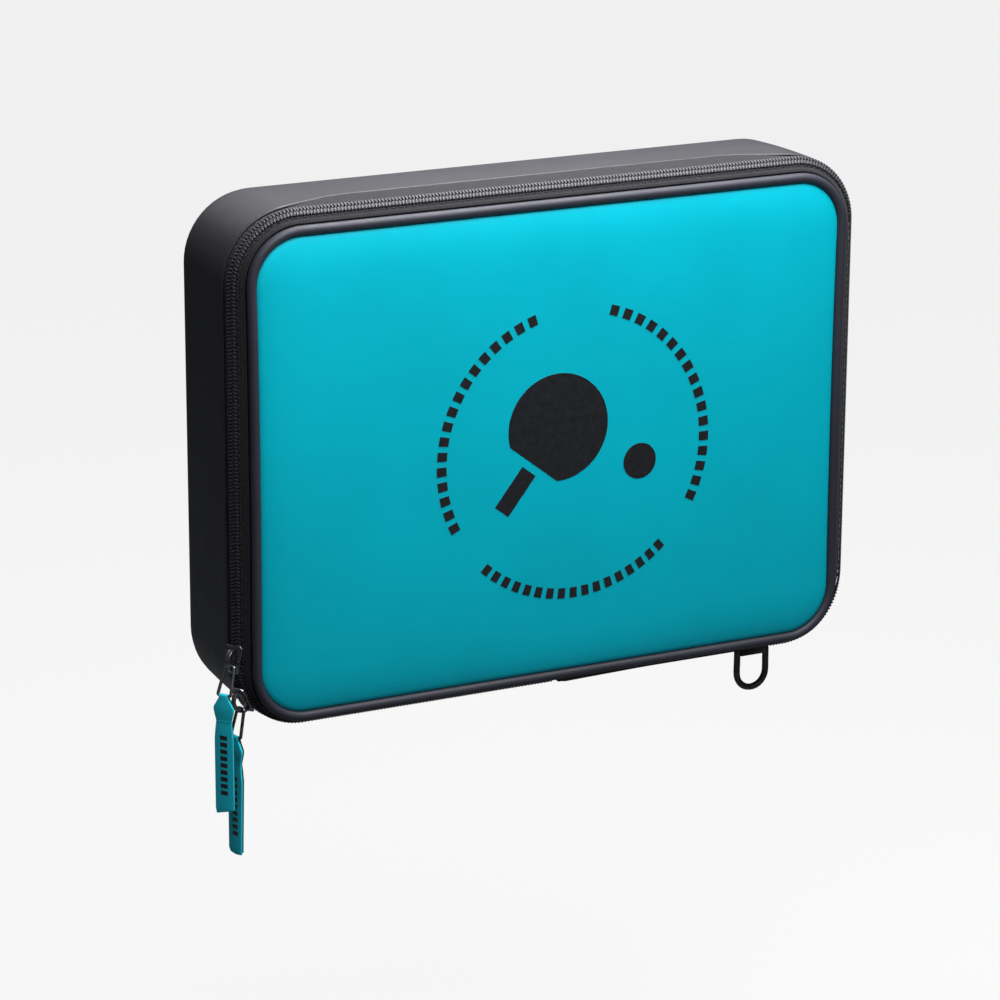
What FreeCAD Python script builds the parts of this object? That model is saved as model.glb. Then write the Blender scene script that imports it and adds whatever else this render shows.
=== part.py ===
import FreeCAD, Part
import math
import os

# Zipped hard case for two table-tennis rackets.
# Frame: +X to the right as seen from the front, +Y from the front panel to the back, +Z up.
# The origin is the centre of the flat back face, which the case rests on when it lies down.
# Depths in the code are measured from the front panel's face: Y = depth - CASE_DEPTH.

# ---- Driving dimensions (mm) ----
CASE_DEPTH = 68.0
PIPING_WIDTH = 286.8            # across the piping around the front panel
PIPING_HEIGHT = 215.8
PIPING_RADIUS = 25.0            # outer corner radius of the piping
PIPING_THICK = 4.1
PIPING_PROUD = 0.4              # how far the piping stands in front of the panel
PIPING_BACK = 4.6
PIPING_ROUND = 1.9              # fillet of the bead's front
PANEL_ROUND = 0.8

PANEL_INSET = 4.4               # panel edge inside the piping's outer edge
SKIN_THICK = 1.2
PANEL_FOAM_BACK = 3.4
STIFFENER_BACK = 4.6
LID_LINING_BACK = 5.4
LID_LINING_INSET = 1.0
LID_BINDING_REACH = 1.3         # how far the lid's seam binding stands outside the piping
SEAM_GAP = 0.05

# The zip tape runs back and outwards from the piping, then straight back under the shell's lip.
TAPE_FRONT = 2.4
TAPE_KNEE = 8.3
TAPE_BACK = 14.0
TAPE_THICK = 0.9
TAPE_FLARE_FRONT = 0.9
TAPE_FLARE_KNEE = 5.2
COIL_THICK = 1.6
COIL_FRONT = 4.9
COIL_BACK = 9.0
ZIP_DEPTH = 7.0                 # plane on which the two halves of the zip meet
ZIP_HALF_GAP = 0.5
STOP_LENGTH = 1.8
STOP_GAP = 0.1                  # between a stop and the hinge strip
STOP_LAP = 0.6                  # how far a stop reaches behind the coil

SHELL_FRONT = 12.0
SHELL_FLARE = 6.4
SHELL_SKIN = 1.2
SHELL_FOAM = 3.3
SHELL_LINING = 0.8
SHELL_BACK_FILLET = 15.0
FOAM_FRONT = 14.2
LINING_FRONT = 12.2
BINDING_FRONT = 10.5

HINGE_LEFT = 3.0
HINGE_RIGHT = 95.0
COIL_END_GAP = 2.0              # bare tape between the coil and the fabric hinge
STRIP_FRONT = 2.6
STRIP_BACK = 11.8
STRIP_BOTTOM = -110.6
HINGE_AXIS_Z = -110.8

SLIDER_1_Z = -77.0
SLIDER_2_ANGLE = 31.0           # degrees below horizontal, round the lower left corner
SLIDER_LENGTH = 13.0
SLIDER_WIDTH = 8.4
PLATE_LOW = 1.9                 # outer plate, measured along the slider's own normal
PLATE_HIGH = 2.9
PLATE_NARROW = 0.72             # its narrow end's share of its width
PLATE_SHOULDER = 2.5            # where it starts to narrow
PLATE_CHAMFER = 1.0
PLATE_EDGE = 0.2                # the plate's edge on the lid's side, which lets the lid leave
KEEPER_LOW = -2.8               # inner plate
KEEPER_HIGH = -2.0
KEEPER_FRONT = -1.4
KEEPER_BACK = 1.8
KEEPER_LENGTH = 10.0
POST_THICK = 0.6                # stands in the gap between the two rows
POST_LENGTH = 2.4
POST_HEIGHT = 5.2
POST_FOOT = 2.6
POST_START = 2.8
CROWN_WIDTH = 2.2
CROWN_HALF = 5.2
CROWN_TOP = 8.4
CROWN_BAR = 1.2
LINK_WIRE = 0.7                 # radius
LINK_TOP_HALF = 2.2
LINK_BOTTOM_HALF = 3.2
LINK_LENGTH = 12.8
LINK_SEAT_ALONG = -2.0          # where the link hangs in the crown
LINK_SEAT_OUT = 5.6
LINK_1_LEAN = 24.0              # degrees that each link leans out from the wall
LINK_2_LEAN = 14.0
RIBBON_WIDTH = 9.0
RIBBON_THICK = 2.0
RIBBON_LENGTH = 53.0
RIBBON_SLANT = 1.5              # of its cut end
RIBBON_NECK = 6.0
RIBBON_NECK_HALF = 2.1
RIBBON_EYE = 0.85               # radius of the loop round the link
RIBBON_EYE_OUT = 1.7

RING_X = 111.0
RING_DEPTH = 20.0
RING_WIRE = 1.5                 # radius
RING_HALF = 7.4                 # half the width, to the wire's centre
RING_LEG = 10.9
RING_BAR_Z = -115.9
RING_PLAY = 0.2                 # between the ring's bar and the webbing round it
RING_TAB_WIDTH = 11.2
RING_TAB_THICK = 1.1

DIVIDER_WIDTH = 268.0
DIVIDER_HEIGHT = 190.0
DIVIDER_BOTTOM = -96.0
DIVIDER_DEPTH = 31.5            # middle of its thickness
DIVIDER_BOARD = 1.5
DIVIDER_FOAM = 1.8
DIVIDER_RADIUS = 18.0
DIVIDER_BINDING = 3.0
DIVIDER_TAPE_TOP = -100.2
DIVIDER_TAPE_WIDTH = 236.0
DIVIDER_TAPE_THICK = 1.0

STRAP_X = 92.0
STRAP_WIDTH = 30.0
STRAP_HALF_SPAN = 26.0
STRAP_FOOT = 12.0
STRAP_RISE = 13.0
STRAP_THICK = 1.5
PATCH_THICK = 0.8
PATCH_MARGIN = 3.0              # of a patch round the strap's foot

POCKET_WIDTH = 210.0
POCKET_HEIGHT = 112.0
POCKET_BOTTOM = -88.0
POCKET_RISE = 6.6
POCKET_THICK = 0.8
POCKET_HEM = 9.0
POCKET_HEM_THICK = 0.9

PRINT_X = 8.0
PRINT_Z = -4.0
PRINT_THICK = 0.15
PRINT_RING = 66.0
PRINT_STROKE = 4.6
WEDGE_REACH = 1.2               # cutting wedge's length over the ring's radius
PRINT_DASHES = 17
PRINT_DASH_SHARE = 0.62         # of each step that its stroke fills
PRINT_ARCS = ((76.0, -28.0), (-46.0, -134.0), (-152.0, -254.0))   # degrees, clockwise
BLADE_RADIUS = 24.0
BLADE_OFFSET = (-7.0, 9.0)      # from the print's centre, across and up
GRIP_HALF = 5.0
GRIP_LENGTH = 21.0              # below the blade
GRIP_LAP = 3.0                  # how far the grip runs into the blade
BALL_RADIUS = 8.0
BALL_OFFSET = (31.0, 1.0)
BAT_TILT = 38.0

HALF_WIDTH = PIPING_WIDTH / 2
HALF_HEIGHT = PIPING_HEIGHT / 2
TAPE_SLOPE = (TAPE_FLARE_KNEE - TAPE_FLARE_FRONT) / (TAPE_KNEE - TAPE_FRONT)
SHELL_WALL = SHELL_SKIN + SHELL_FOAM + SHELL_LINING
OVERRUN = 5.0

Vec = FreeCAD.Vector


def point(x, depth, z):
    return Vec(x, depth - CASE_DEPTH, z)


def tape_flare(depth):
    """How far the tape's outer face stands outside the piping at this depth."""
    return TAPE_FLARE_FRONT + TAPE_SLOPE * (min(depth, TAPE_KNEE) - TAPE_FRONT)


def tuck(depth):
    """The bottom stays flat: there the walls give back the flare that the other sides have."""
    return max(0.0, tape_flare(depth) - TAPE_FLARE_FRONT)


def loop_wire(depth, left, right, low, high, radius):
    """A rounded rectangle at one depth."""
    diagonal = radius * (1 - math.sqrt(0.5))
    corners = (
        ((right, high - radius), (right - diagonal, high - diagonal), (right - radius, high)),
        ((left + radius, high), (left + diagonal, high - diagonal), (left, high - radius)),
        ((left, low + radius), (left + diagonal, low + diagonal), (left + radius, low)),
        ((right - radius, low), (right - diagonal, low + diagonal), (right, low + radius)),
    )
    edges = []
    for index, corner in enumerate(corners):
        start, middle, end = (point(x, depth, z) for x, z in corner)
        following = corners[(index + 1) % 4][0]
        edges.append(Part.Arc(start, middle, end).toShape())
        edges.append(Part.makeLine(end, point(following[0], depth, following[1])))
    return Part.Wire(edges)


def outline(depth, flare, tucked=True):
    """The case's outline at one depth, standing out from the piping by flare."""
    half = HALF_WIDTH + flare
    low = -(HALF_HEIGHT + flare - (tuck(depth) if tucked else 0.0))
    return loop_wire(depth, -half, half, low, HALF_HEIGHT + flare, PIPING_RADIUS + flare)


def loft(stations, tucked=True):
    return Part.makeLoft([outline(depth, flare, tucked) for depth, flare in stations], True, True)


def band(stations, thickness, tucked=True):
    """A wall that follows the outline, its outer face through the stations."""
    inner = [(depth, flare - thickness) for depth, flare in stations]
    return loft(stations, tucked).cut(loft(inner, tucked))


def slab(depth_front, depth_back, flare, tucked=True):
    return loft([(depth_front, flare), (depth_back, flare)], tucked)


def box(x0, x1, depth0, depth1, z0, z1):
    return Part.makeBox(x1 - x0, depth1 - depth0, z1 - z0, point(x0, depth0, z0))


def cylinder(start, end, radius):
    axis = end - start
    return Part.makeCylinder(radius, axis.Length, start, axis)


def rod_chain(points, radius, closed=False):
    """Round wire through the points, with ball corners."""
    pairs = list(zip(points, points[1:] + points[:1] if closed else points[1:]))
    solid = cylinder(*pairs[0], radius)
    for start, end in pairs[1:]:
        solid = solid.fuse(cylinder(start, end, radius))
        solid = solid.fuse(Part.makeSphere(radius, start))
    if closed:
        solid = solid.fuse(Part.makeSphere(radius, points[0]))
    return solid


def edges_at(shape, depth):
    """The edges that lie wholly at one depth."""
    y = depth - CASE_DEPTH
    return [e for e in shape.Edges if abs(e.BoundBox.YMin - y) < 1e-4 and abs(e.BoundBox.YMax - y) < 1e-4]


def tray_block(front, inset):
    """A solid tray from a front depth to the back, smaller all round by an inset."""
    back = CASE_DEPTH - inset
    block = slab(front, back, SHELL_FLARE - inset)
    return block.makeFillet(SHELL_BACK_FILLET - inset, edges_at(block, back))


# ---- Rear half ----
def shell_layer(front, outer_inset, inner_inset):
    """One layer of the moulded tray, between two insets from its outside."""
    return tray_block(front, outer_inset).cut(tray_block(front, inner_inset))


def rear_shell_skin():
    return shell_layer(SHELL_FRONT, 0.0, SHELL_SKIN)


def rear_shell_foam():
    return shell_layer(FOAM_FRONT, SHELL_SKIN, SHELL_SKIN + SHELL_FOAM)


def rear_lining():
    return shell_layer(LINING_FRONT, SHELL_SKIN + SHELL_FOAM, SHELL_WALL)


def rear_seam_binding():
    """Tape that covers the raw edge of the foam inside the lip."""
    outer = TAPE_FLARE_KNEE - TAPE_THICK
    inner = SHELL_FLARE - SHELL_SKIN - SHELL_FOAM
    return band([(BINDING_FRONT, outer), (TAPE_BACK, outer)], outer - inner)


def tape(stations):
    return band([(depth, tape_flare(depth)) for depth in stations], TAPE_THICK)


def coil(stations):
    """One row of the zip, lying on the tape, left out along the fabric hinge."""
    outer = loft([(depth, tape_flare(depth) + COIL_THICK) for depth in stations])
    row = outer.cut(loft([(depth, tape_flare(depth)) for depth in stations]))
    top = HINGE_AXIS_Z + OVERRUN
    bare = box(HINGE_LEFT - COIL_END_GAP, HINGE_RIGHT + COIL_END_GAP,
               0, COIL_BACK + OVERRUN, top - 4 * OVERRUN, top)
    return row.cut(bare)


def rear_zip_tape():
    return tape([ZIP_DEPTH + ZIP_HALF_GAP, TAPE_KNEE, TAPE_BACK])


def rear_zip_coil():
    return coil([ZIP_DEPTH + ZIP_HALF_GAP, TAPE_KNEE, COIL_BACK])


def zip_stops():
    """Metal clamps that close the two ends of the rear row."""
    top = -(HALF_HEIGHT + TAPE_FLARE_FRONT)
    clamps = []
    for x0 in (HINGE_LEFT - STOP_GAP - STOP_LENGTH, HINGE_RIGHT + STOP_GAP):
        clamps.append(box(x0, x0 + STOP_LENGTH, ZIP_DEPTH + ZIP_HALF_GAP, COIL_BACK + STOP_LAP,
                          top - COIL_THICK, top))
    return Part.makeCompound(clamps)


def hinge_strip(depth0, depth1):
    top = -(HALF_HEIGHT + TAPE_FLARE_FRONT)
    return box(HINGE_LEFT, HINGE_RIGHT, depth0, depth1, STRIP_BOTTOM, top)


def hinge_strip_rear():
    return hinge_strip(ZIP_DEPTH + ZIP_HALF_GAP, STRIP_BACK)


def shell_bottom():
    return -(HALF_HEIGHT + SHELL_FLARE - tuck(SHELL_FRONT))


def d_ring_tab():
    """Webbing folded round the ring's bar and sewn under the shell."""
    bore = RING_WIRE + RING_PLAY
    outer = bore + RING_TAB_THICK
    x0 = RING_X - RING_TAB_WIDTH / 2
    start = point(x0, RING_DEPTH, RING_BAR_Z)
    end = point(x0 + RING_TAB_WIDTH, RING_DEPTH, RING_BAR_Z)
    stem = box(x0, x0 + RING_TAB_WIDTH, RING_DEPTH - outer, RING_DEPTH + outer, RING_BAR_Z, shell_bottom())
    return cylinder(start, end, outer).fuse(stem).cut(cylinder(start, end, bore))


def handle_strap():
    """Elastic loop on the back wall that a racket's handle slides through."""
    floor = CASE_DEPTH - SHELL_WALL
    x0 = STRAP_X - STRAP_WIDTH / 2
    x1 = x0 + STRAP_WIDTH
    span = STRAP_HALF_SPAN
    solid = box(x0, x1, floor - STRAP_RISE - STRAP_THICK, floor - STRAP_RISE, -span, span)
    for side in (-1, 1):
        z0, z1 = sorted((side * span, side * (span - STRAP_THICK)))
        foot0, foot1 = sorted((side * span, side * (span + STRAP_FOOT)))
        solid = solid.fuse(box(x0, x1, floor - STRAP_RISE, floor - PATCH_THICK, z0, z1))
        solid = solid.fuse(box(x0, x1, floor - PATCH_THICK - STRAP_THICK, floor - PATCH_THICK, foot0, foot1))
    return solid.removeSplitter()


def strap_patches():
    """Reinforcing patches under the strap's two sewn feet."""
    floor = CASE_DEPTH - SHELL_WALL
    x0 = STRAP_X - STRAP_WIDTH / 2 - PATCH_MARGIN
    x1 = STRAP_X + STRAP_WIDTH / 2 + PATCH_MARGIN
    reach = STRAP_HALF_SPAN + STRAP_FOOT + PATCH_MARGIN
    patches = []
    for side in (-1, 1):
        z0, z1 = sorted((side * (STRAP_HALF_SPAN - STRAP_THICK), side * reach))
        patches.append(box(x0, x1, floor - PATCH_THICK, floor, z0, z1))
    return Part.makeCompound(patches)


def divider_hinge_tape():
    floor = shell_bottom() + SHELL_WALL
    half = DIVIDER_TAPE_WIDTH / 2
    front = DIVIDER_DEPTH - DIVIDER_TAPE_THICK / 2
    return box(-half, half, front, front + DIVIDER_TAPE_THICK, floor, DIVIDER_TAPE_TOP)


# ---- Lid ----
def front_panel_skin():
    """Smooth coloured face of the lid, its edge rolled back."""
    block = slab(0, SKIN_THICK, -PANEL_INSET, tucked=False)
    return block.makeFillet(PANEL_ROUND, edges_at(block, 0))


def front_panel_foam():
    return slab(SKIN_THICK, PANEL_FOAM_BACK, -PANEL_INSET, tucked=False)


def lid_stiffener():
    return slab(PANEL_FOAM_BACK, STIFFENER_BACK, -PANEL_INSET, tucked=False)


def lid_lining():
    return slab(STIFFENER_BACK, LID_LINING_BACK, -LID_LINING_INSET)


def front_piping():
    """Padded bead all round the panel, rounded in front."""
    ring = band([(-PIPING_PROUD, 0.0), (PIPING_BACK, 0.0)], PIPING_THICK, tucked=False)
    return ring.makeFillet(PIPING_ROUND, edges_at(ring, -PIPING_PROUD))


def lid_seam_binding():
    """Tape over the seam between the lining and the zip tape."""
    stations = [(depth, LID_BINDING_REACH) for depth in (STIFFENER_BACK + SEAM_GAP, LID_LINING_BACK)]
    return band(stations, LID_BINDING_REACH + LID_LINING_INSET)


def lid_zip_tape():
    return tape([TAPE_FRONT, ZIP_DEPTH - ZIP_HALF_GAP])


def lid_zip_coil():
    return coil([COIL_FRONT, ZIP_DEPTH - ZIP_HALF_GAP])


def hinge_strip_lid():
    return hinge_strip(STRIP_FRONT, ZIP_DEPTH - ZIP_HALF_GAP)


def pocket_rim_z():
    return POCKET_BOTTOM + POCKET_HEIGHT


def mesh_pocket():
    """Net pouch on the inside of the lid, open along its top."""
    half = POCKET_WIDTH / 2
    back = LID_LINING_BACK + POCKET_RISE
    outer = box(-half, half, LID_LINING_BACK, back, POCKET_BOTTOM, pocket_rim_z())
    hollow = box(-half + POCKET_THICK, half - POCKET_THICK, LID_LINING_BACK - OVERRUN, back - POCKET_THICK,
                 POCKET_BOTTOM + POCKET_THICK, pocket_rim_z() + OVERRUN)
    return outer.cut(hollow)


def pocket_binding():
    """Elastic hem along the pouch's open edge."""
    half = POCKET_WIDTH / 2
    front = LID_LINING_BACK + POCKET_RISE
    return box(-half, half, front, front + POCKET_HEM_THICK, pocket_rim_z() - POCKET_HEM, pocket_rim_z())


def flat_disc(x, z, radius):
    return Part.makeCylinder(radius, PRINT_THICK, point(x, -PRINT_THICK, z), Vec(0, 1, 0))


def ring_dash(angle, sweep):
    """One short stroke of the printed ring."""
    wedge_points = [point(PRINT_X, -PRINT_THICK, PRINT_Z)]
    reach = PRINT_RING * WEDGE_REACH
    for part in (-0.5, 0.5):
        turn = math.radians(angle + part * sweep)
        wedge_points.append(point(PRINT_X + reach * math.cos(turn), -PRINT_THICK,
                                  PRINT_Z + reach * math.sin(turn)))
    wedge = Part.Face(Part.makePolygon(wedge_points + wedge_points[:1])).extrude(Vec(0, PRINT_THICK, 0))
    ring = flat_disc(PRINT_X, PRINT_Z, PRINT_RING).cut(flat_disc(PRINT_X, PRINT_Z, PRINT_RING - PRINT_STROKE))
    return ring.common(wedge)


def front_print():
    """Printed film: a racket and ball inside three arcs of short strokes."""
    pieces = []
    for start, end in PRINT_ARCS:
        step = (end - start) / PRINT_DASHES
        for index in range(PRINT_DASHES):
            pieces.append(ring_dash(start + step * (index + 0.5), abs(step) * PRINT_DASH_SHARE))
    blade_x = PRINT_X + BLADE_OFFSET[0]
    blade_z = PRINT_Z + BLADE_OFFSET[1]
    grip_end = -BLADE_RADIUS - GRIP_LENGTH
    grip = box(-GRIP_HALF, GRIP_HALF, -PRINT_THICK, 0, grip_end, -BLADE_RADIUS + GRIP_LAP)
    grip.rotate(point(0, 0, 0), Vec(0, 1, 0), -BAT_TILT)
    grip.translate(Vec(blade_x, 0, blade_z))
    pieces.append(flat_disc(blade_x, blade_z, BLADE_RADIUS).fuse(grip).removeSplitter())
    pieces.append(flat_disc(PRINT_X + BALL_OFFSET[0], PRINT_Z + BALL_OFFSET[1], BALL_RADIUS))
    return Part.makeCompound(pieces)


# ---- Divider flap ----
def divider_plate(depth0, depth1, inset):
    half = DIVIDER_WIDTH / 2 - inset
    wires = []
    for depth in (depth0, depth1):
        wires.append(loop_wire(depth, -half, half, DIVIDER_BOTTOM + inset,
                               DIVIDER_BOTTOM + DIVIDER_HEIGHT - inset, DIVIDER_RADIUS - inset))
    return Part.makeLoft(wires, True, True)


def divider_board():
    half = DIVIDER_BOARD / 2
    return divider_plate(DIVIDER_DEPTH - half, DIVIDER_DEPTH + half, DIVIDER_BINDING)


def divider_foam_front():
    back = DIVIDER_DEPTH - DIVIDER_BOARD / 2
    return divider_plate(back - DIVIDER_FOAM, back, DIVIDER_BINDING)


def divider_foam_rear():
    front = DIVIDER_DEPTH + DIVIDER_BOARD / 2
    return divider_plate(front, front + DIVIDER_FOAM, DIVIDER_BINDING)


def divider_binding():
    half = DIVIDER_BOARD / 2 + DIVIDER_FOAM
    front = DIVIDER_DEPTH - half
    back = DIVIDER_DEPTH + half
    return divider_plate(front, back, 0).cut(divider_plate(front, back, DIVIDER_BINDING))


# ---- Sliders, pull links and ribbons ----
class ZipStation:
    """A place on the closed zip: its centre and the three directions of a slider there."""

    def __init__(self, angle_deg, z, lean_deg):
        angle = math.radians(angle_deg)
        flare = tape_flare(ZIP_DEPTH)
        centre_x = -(HALF_WIDTH - PIPING_RADIUS)
        radius = PIPING_RADIUS + flare
        self.out = Vec(-math.cos(angle), 0, -math.sin(angle))
        self.along = Vec(-math.sin(angle), 0, math.cos(angle))
        self.centre = point(centre_x, ZIP_DEPTH, z) + self.out * radius
        slope = TAPE_SLOPE * (1 - math.sin(angle))
        self.across = (self.out * slope + Vec(0, 1, 0)).normalize()
        self.normal = self.along.cross(self.across)
        self.lean = math.radians(lean_deg)

    def at(self, along, across, normal):
        return self.centre + self.along * along + self.across * across + self.normal * normal

    def place(self, solid):
        """Moves a solid drawn in (along, across, normal) to this station."""
        a, b, c, o = self.along, self.across, self.normal, self.centre
        matrix = FreeCAD.Matrix(a.x, b.x, c.x, o.x, a.y, b.y, c.y, o.y, a.z, b.z, c.z, o.z, 0, 0, 0, 1)
        return solid.transformGeometry(matrix)

    def seat(self):
        """Middle of the link's upper bar, hanging in the crown."""
        return self.at(LINK_SEAT_ALONG, 0, LINK_SEAT_OUT)

    def bar_axis(self):
        return Vec(self.across.x, self.across.y, 0).normalize()

    def face_normal(self):
        """Horizontal direction that the ribbon's outer face looks in."""
        return Vec(0, 0, 1).cross(self.bar_axis())

    def eye(self):
        """Middle of the link's lower bar."""
        drop = Vec(0, 0, -math.cos(self.lean)) + self.face_normal() * math.sin(self.lean)
        return self.seat() + drop * LINK_LENGTH


def corner_centre_z():
    return -(HALF_HEIGHT - tuck(ZIP_DEPTH)) + PIPING_RADIUS


def crown_arc(half, top):
    return Part.Arc(Vec(-half, 0, PLATE_HIGH), Vec(0, 0, top), Vec(half, 0, PLATE_HIGH)).toShape()


def crown():
    """The arched bridge on the outer plate that the pull link hangs in."""
    inner_half = CROWN_HALF - CROWN_BAR
    edges = [
        crown_arc(CROWN_HALF, CROWN_TOP),
        Part.makeLine(Vec(CROWN_HALF, 0, PLATE_HIGH), Vec(inner_half, 0, PLATE_HIGH)),
        crown_arc(inner_half, CROWN_TOP - CROWN_BAR),
        Part.makeLine(Vec(-inner_half, 0, PLATE_HIGH), Vec(-CROWN_HALF, 0, PLATE_HIGH)),
    ]
    face = Part.Face(Part.Wire(Part.__sortEdges__(edges)))
    arch = face.extrude(Vec(0, CROWN_WIDTH, 0))
    arch.translate(Vec(0, -CROWN_WIDTH / 2, 0))
    return arch


def slider_plate():
    """Rear part of the outer plate, wide where the two rows part and narrow where they join."""
    half_length = SLIDER_LENGTH / 2
    wide = SLIDER_WIDTH / 2
    narrow = wide * PLATE_NARROW
    corners = ((-half_length, PLATE_EDGE), (half_length, PLATE_EDGE),
               (half_length, wide - PLATE_CHAMFER), (half_length - PLATE_CHAMFER, wide),
               (PLATE_SHOULDER, wide), (0, narrow), (-half_length, narrow))
    outline_points = [Vec(along, across, PLATE_LOW) for along, across in corners]
    face = Part.Face(Part.makePolygon(outline_points + outline_points[:1]))
    return face.extrude(Vec(0, 0, PLATE_HIGH - PLATE_LOW))


def slider_post(station):
    """Upright between the two rows, from the inner plate to the outer one."""
    post = Part.makeBox(POST_LENGTH, POST_THICK, POST_HEIGHT)
    a, o = station.along, station.out
    corner = station.centre + a * POST_START - Vec(0, POST_THICK / 2, 0) - o * POST_FOOT
    matrix = FreeCAD.Matrix(a.x, 0, o.x, corner.x, a.y, 1, o.y, corner.y, a.z, 0, o.z, corner.z, 0, 0, 0, 1)
    return post.transformGeometry(matrix)


def slider_body(station):
    """Outer plate and crown, the post between the rows, and the inner plate behind the rear row."""
    keeper = Part.makeBox(KEEPER_LENGTH, KEEPER_BACK - KEEPER_FRONT, KEEPER_HIGH - KEEPER_LOW,
                          Vec(-KEEPER_LENGTH / 2, KEEPER_FRONT, KEEPER_LOW))
    solid = station.place(slider_plate().fuse(crown()).fuse(keeper))
    return solid.fuse(slider_post(station)).removeSplitter()


def pull_link(station):
    """Wire link, a little wider at the end that holds the ribbon."""
    axis = station.bar_axis()
    top = station.seat()
    low = station.eye()
    corners = [top - axis * LINK_TOP_HALF, top + axis * LINK_TOP_HALF,
               low + axis * LINK_BOTTOM_HALF, low - axis * LINK_BOTTOM_HALF]
    return rod_chain(corners, LINK_WIRE, closed=True)


def pull_ribbon(station):
    """Folded ribbon hanging from the link, with a narrowed neck."""
    axis = station.bar_axis()
    eye = station.eye()
    face_normal = station.face_normal()
    half = RIBBON_WIDTH / 2
    profile = ((-RIBBON_NECK_HALF, 0), (RIBBON_NECK_HALF, 0), (half, -RIBBON_NECK),
               (half, -RIBBON_LENGTH), (-half, -RIBBON_LENGTH + RIBBON_SLANT), (-half, -RIBBON_NECK))
    back = eye - face_normal * (RIBBON_THICK / 2)
    corners = [back + axis * across + Vec(0, 0, drop) for across, drop in profile]
    blade = Part.Face(Part.makePolygon(corners + corners[:1])).extrude(face_normal * RIBBON_THICK)
    start = eye - axis * RIBBON_NECK_HALF
    end = eye + axis * RIBBON_NECK_HALF
    solid = blade.fuse(cylinder(start, end, RIBBON_EYE_OUT))
    return solid.cut(cylinder(start - axis, end + axis, RIBBON_EYE)).removeSplitter()


def d_ring():
    """Wire ring with a straight bar, two legs and a round bottom."""
    legs_low = RING_BAR_Z - RING_LEG
    left = RING_X - RING_HALF
    right = RING_X + RING_HALF
    wire = rod_chain([point(left, RING_DEPTH, legs_low), point(left, RING_DEPTH, RING_BAR_Z),
                      point(right, RING_DEPTH, RING_BAR_Z), point(right, RING_DEPTH, legs_low)], RING_WIRE)
    middle = point(RING_X, RING_DEPTH, legs_low)
    bend = Part.makeTorus(RING_HALF, RING_WIRE, middle, Vec(0, 1, 0), -180, 180, 360)
    reach = 2 * RING_WIRE
    upper = box(left - reach, right + reach, RING_DEPTH - reach, RING_DEPTH + reach,
                legs_low, legs_low + 4 * reach)
    return wire.fuse(bend.cut(upper)).removeSplitter()


def build():
    stations = {
        "slider_1": ZipStation(0.0, SLIDER_1_Z, LINK_1_LEAN),
        "slider_2": ZipStation(SLIDER_2_ANGLE, corner_centre_z(), LINK_2_LEAN),
    }
    makers = (
        rear_shell_skin, rear_shell_foam, rear_lining, rear_seam_binding, rear_zip_tape, rear_zip_coil,
        zip_stops, hinge_strip_rear, d_ring_tab, handle_strap, strap_patches, divider_hinge_tape,
        front_panel_skin, front_panel_foam, lid_stiffener, lid_lining, front_piping, lid_seam_binding,
        lid_zip_tape, lid_zip_coil, hinge_strip_lid, mesh_pocket, pocket_binding, front_print,
        divider_board, divider_foam_front, divider_foam_rear, divider_binding, d_ring,
    )
    shapes = {maker.__name__: maker() for maker in makers}
    for name, station in stations.items():
        shapes[name + "_body"] = slider_body(station)
        shapes[name + "_pull_link"] = pull_link(station)
        shapes[name + "_ribbon"] = pull_ribbon(station)
        seat, eye, axis = station.seat(), station.eye(), station.bar_axis()
        print(name, "centre", station.centre, "seat", seat, "eye", eye, "axis", axis)
    print("corner centre", point(-(HALF_WIDTH - PIPING_RADIUS), ZIP_DEPTH, corner_centre_z()))
    return shapes


def main():
    os.makedirs("parts", exist_ok=True)
    for name, shape in build().items():
        solids = len(shape.Solids)
        if not shape.isValid() or solids == 0:
            raise ValueError(f"{name} is not a valid solid")
        shape.exportStep(f"parts/{name}.step")
        print(f"{name}: {solids} solid(s), {shape.Volume:.1f} mm3")


main()
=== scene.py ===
"""Looks of a zipped hard case for two table-tennis rackets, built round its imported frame."""

import logging
import math
from dataclasses import dataclass
from enum import Enum
from typing import Iterable, Iterator, Sequence

import bmesh
import bpy
from bmesh.types import BMEdge, BMesh, BMVert
from mathutils import Matrix, Vector


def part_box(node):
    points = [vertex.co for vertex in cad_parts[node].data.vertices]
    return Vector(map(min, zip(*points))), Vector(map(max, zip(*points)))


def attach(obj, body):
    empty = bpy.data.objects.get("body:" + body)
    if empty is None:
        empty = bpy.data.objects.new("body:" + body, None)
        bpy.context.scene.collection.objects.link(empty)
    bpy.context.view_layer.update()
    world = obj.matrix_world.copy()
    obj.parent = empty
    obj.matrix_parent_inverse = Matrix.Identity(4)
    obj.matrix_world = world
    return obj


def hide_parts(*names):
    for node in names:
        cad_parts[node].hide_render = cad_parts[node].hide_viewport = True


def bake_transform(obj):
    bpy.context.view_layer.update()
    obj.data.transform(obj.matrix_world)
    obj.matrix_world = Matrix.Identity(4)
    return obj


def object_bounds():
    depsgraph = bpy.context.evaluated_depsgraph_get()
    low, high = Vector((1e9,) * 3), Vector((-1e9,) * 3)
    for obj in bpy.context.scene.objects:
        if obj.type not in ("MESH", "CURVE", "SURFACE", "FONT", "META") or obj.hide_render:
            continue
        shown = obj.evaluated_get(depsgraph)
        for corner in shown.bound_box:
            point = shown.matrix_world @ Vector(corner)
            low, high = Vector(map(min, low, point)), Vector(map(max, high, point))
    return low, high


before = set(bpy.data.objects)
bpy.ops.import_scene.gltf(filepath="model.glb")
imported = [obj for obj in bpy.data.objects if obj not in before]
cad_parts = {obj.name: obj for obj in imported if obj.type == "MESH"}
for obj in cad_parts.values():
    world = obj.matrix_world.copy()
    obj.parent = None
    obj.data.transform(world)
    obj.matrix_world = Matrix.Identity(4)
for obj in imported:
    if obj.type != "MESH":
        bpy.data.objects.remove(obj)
CAD_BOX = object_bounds()

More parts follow.
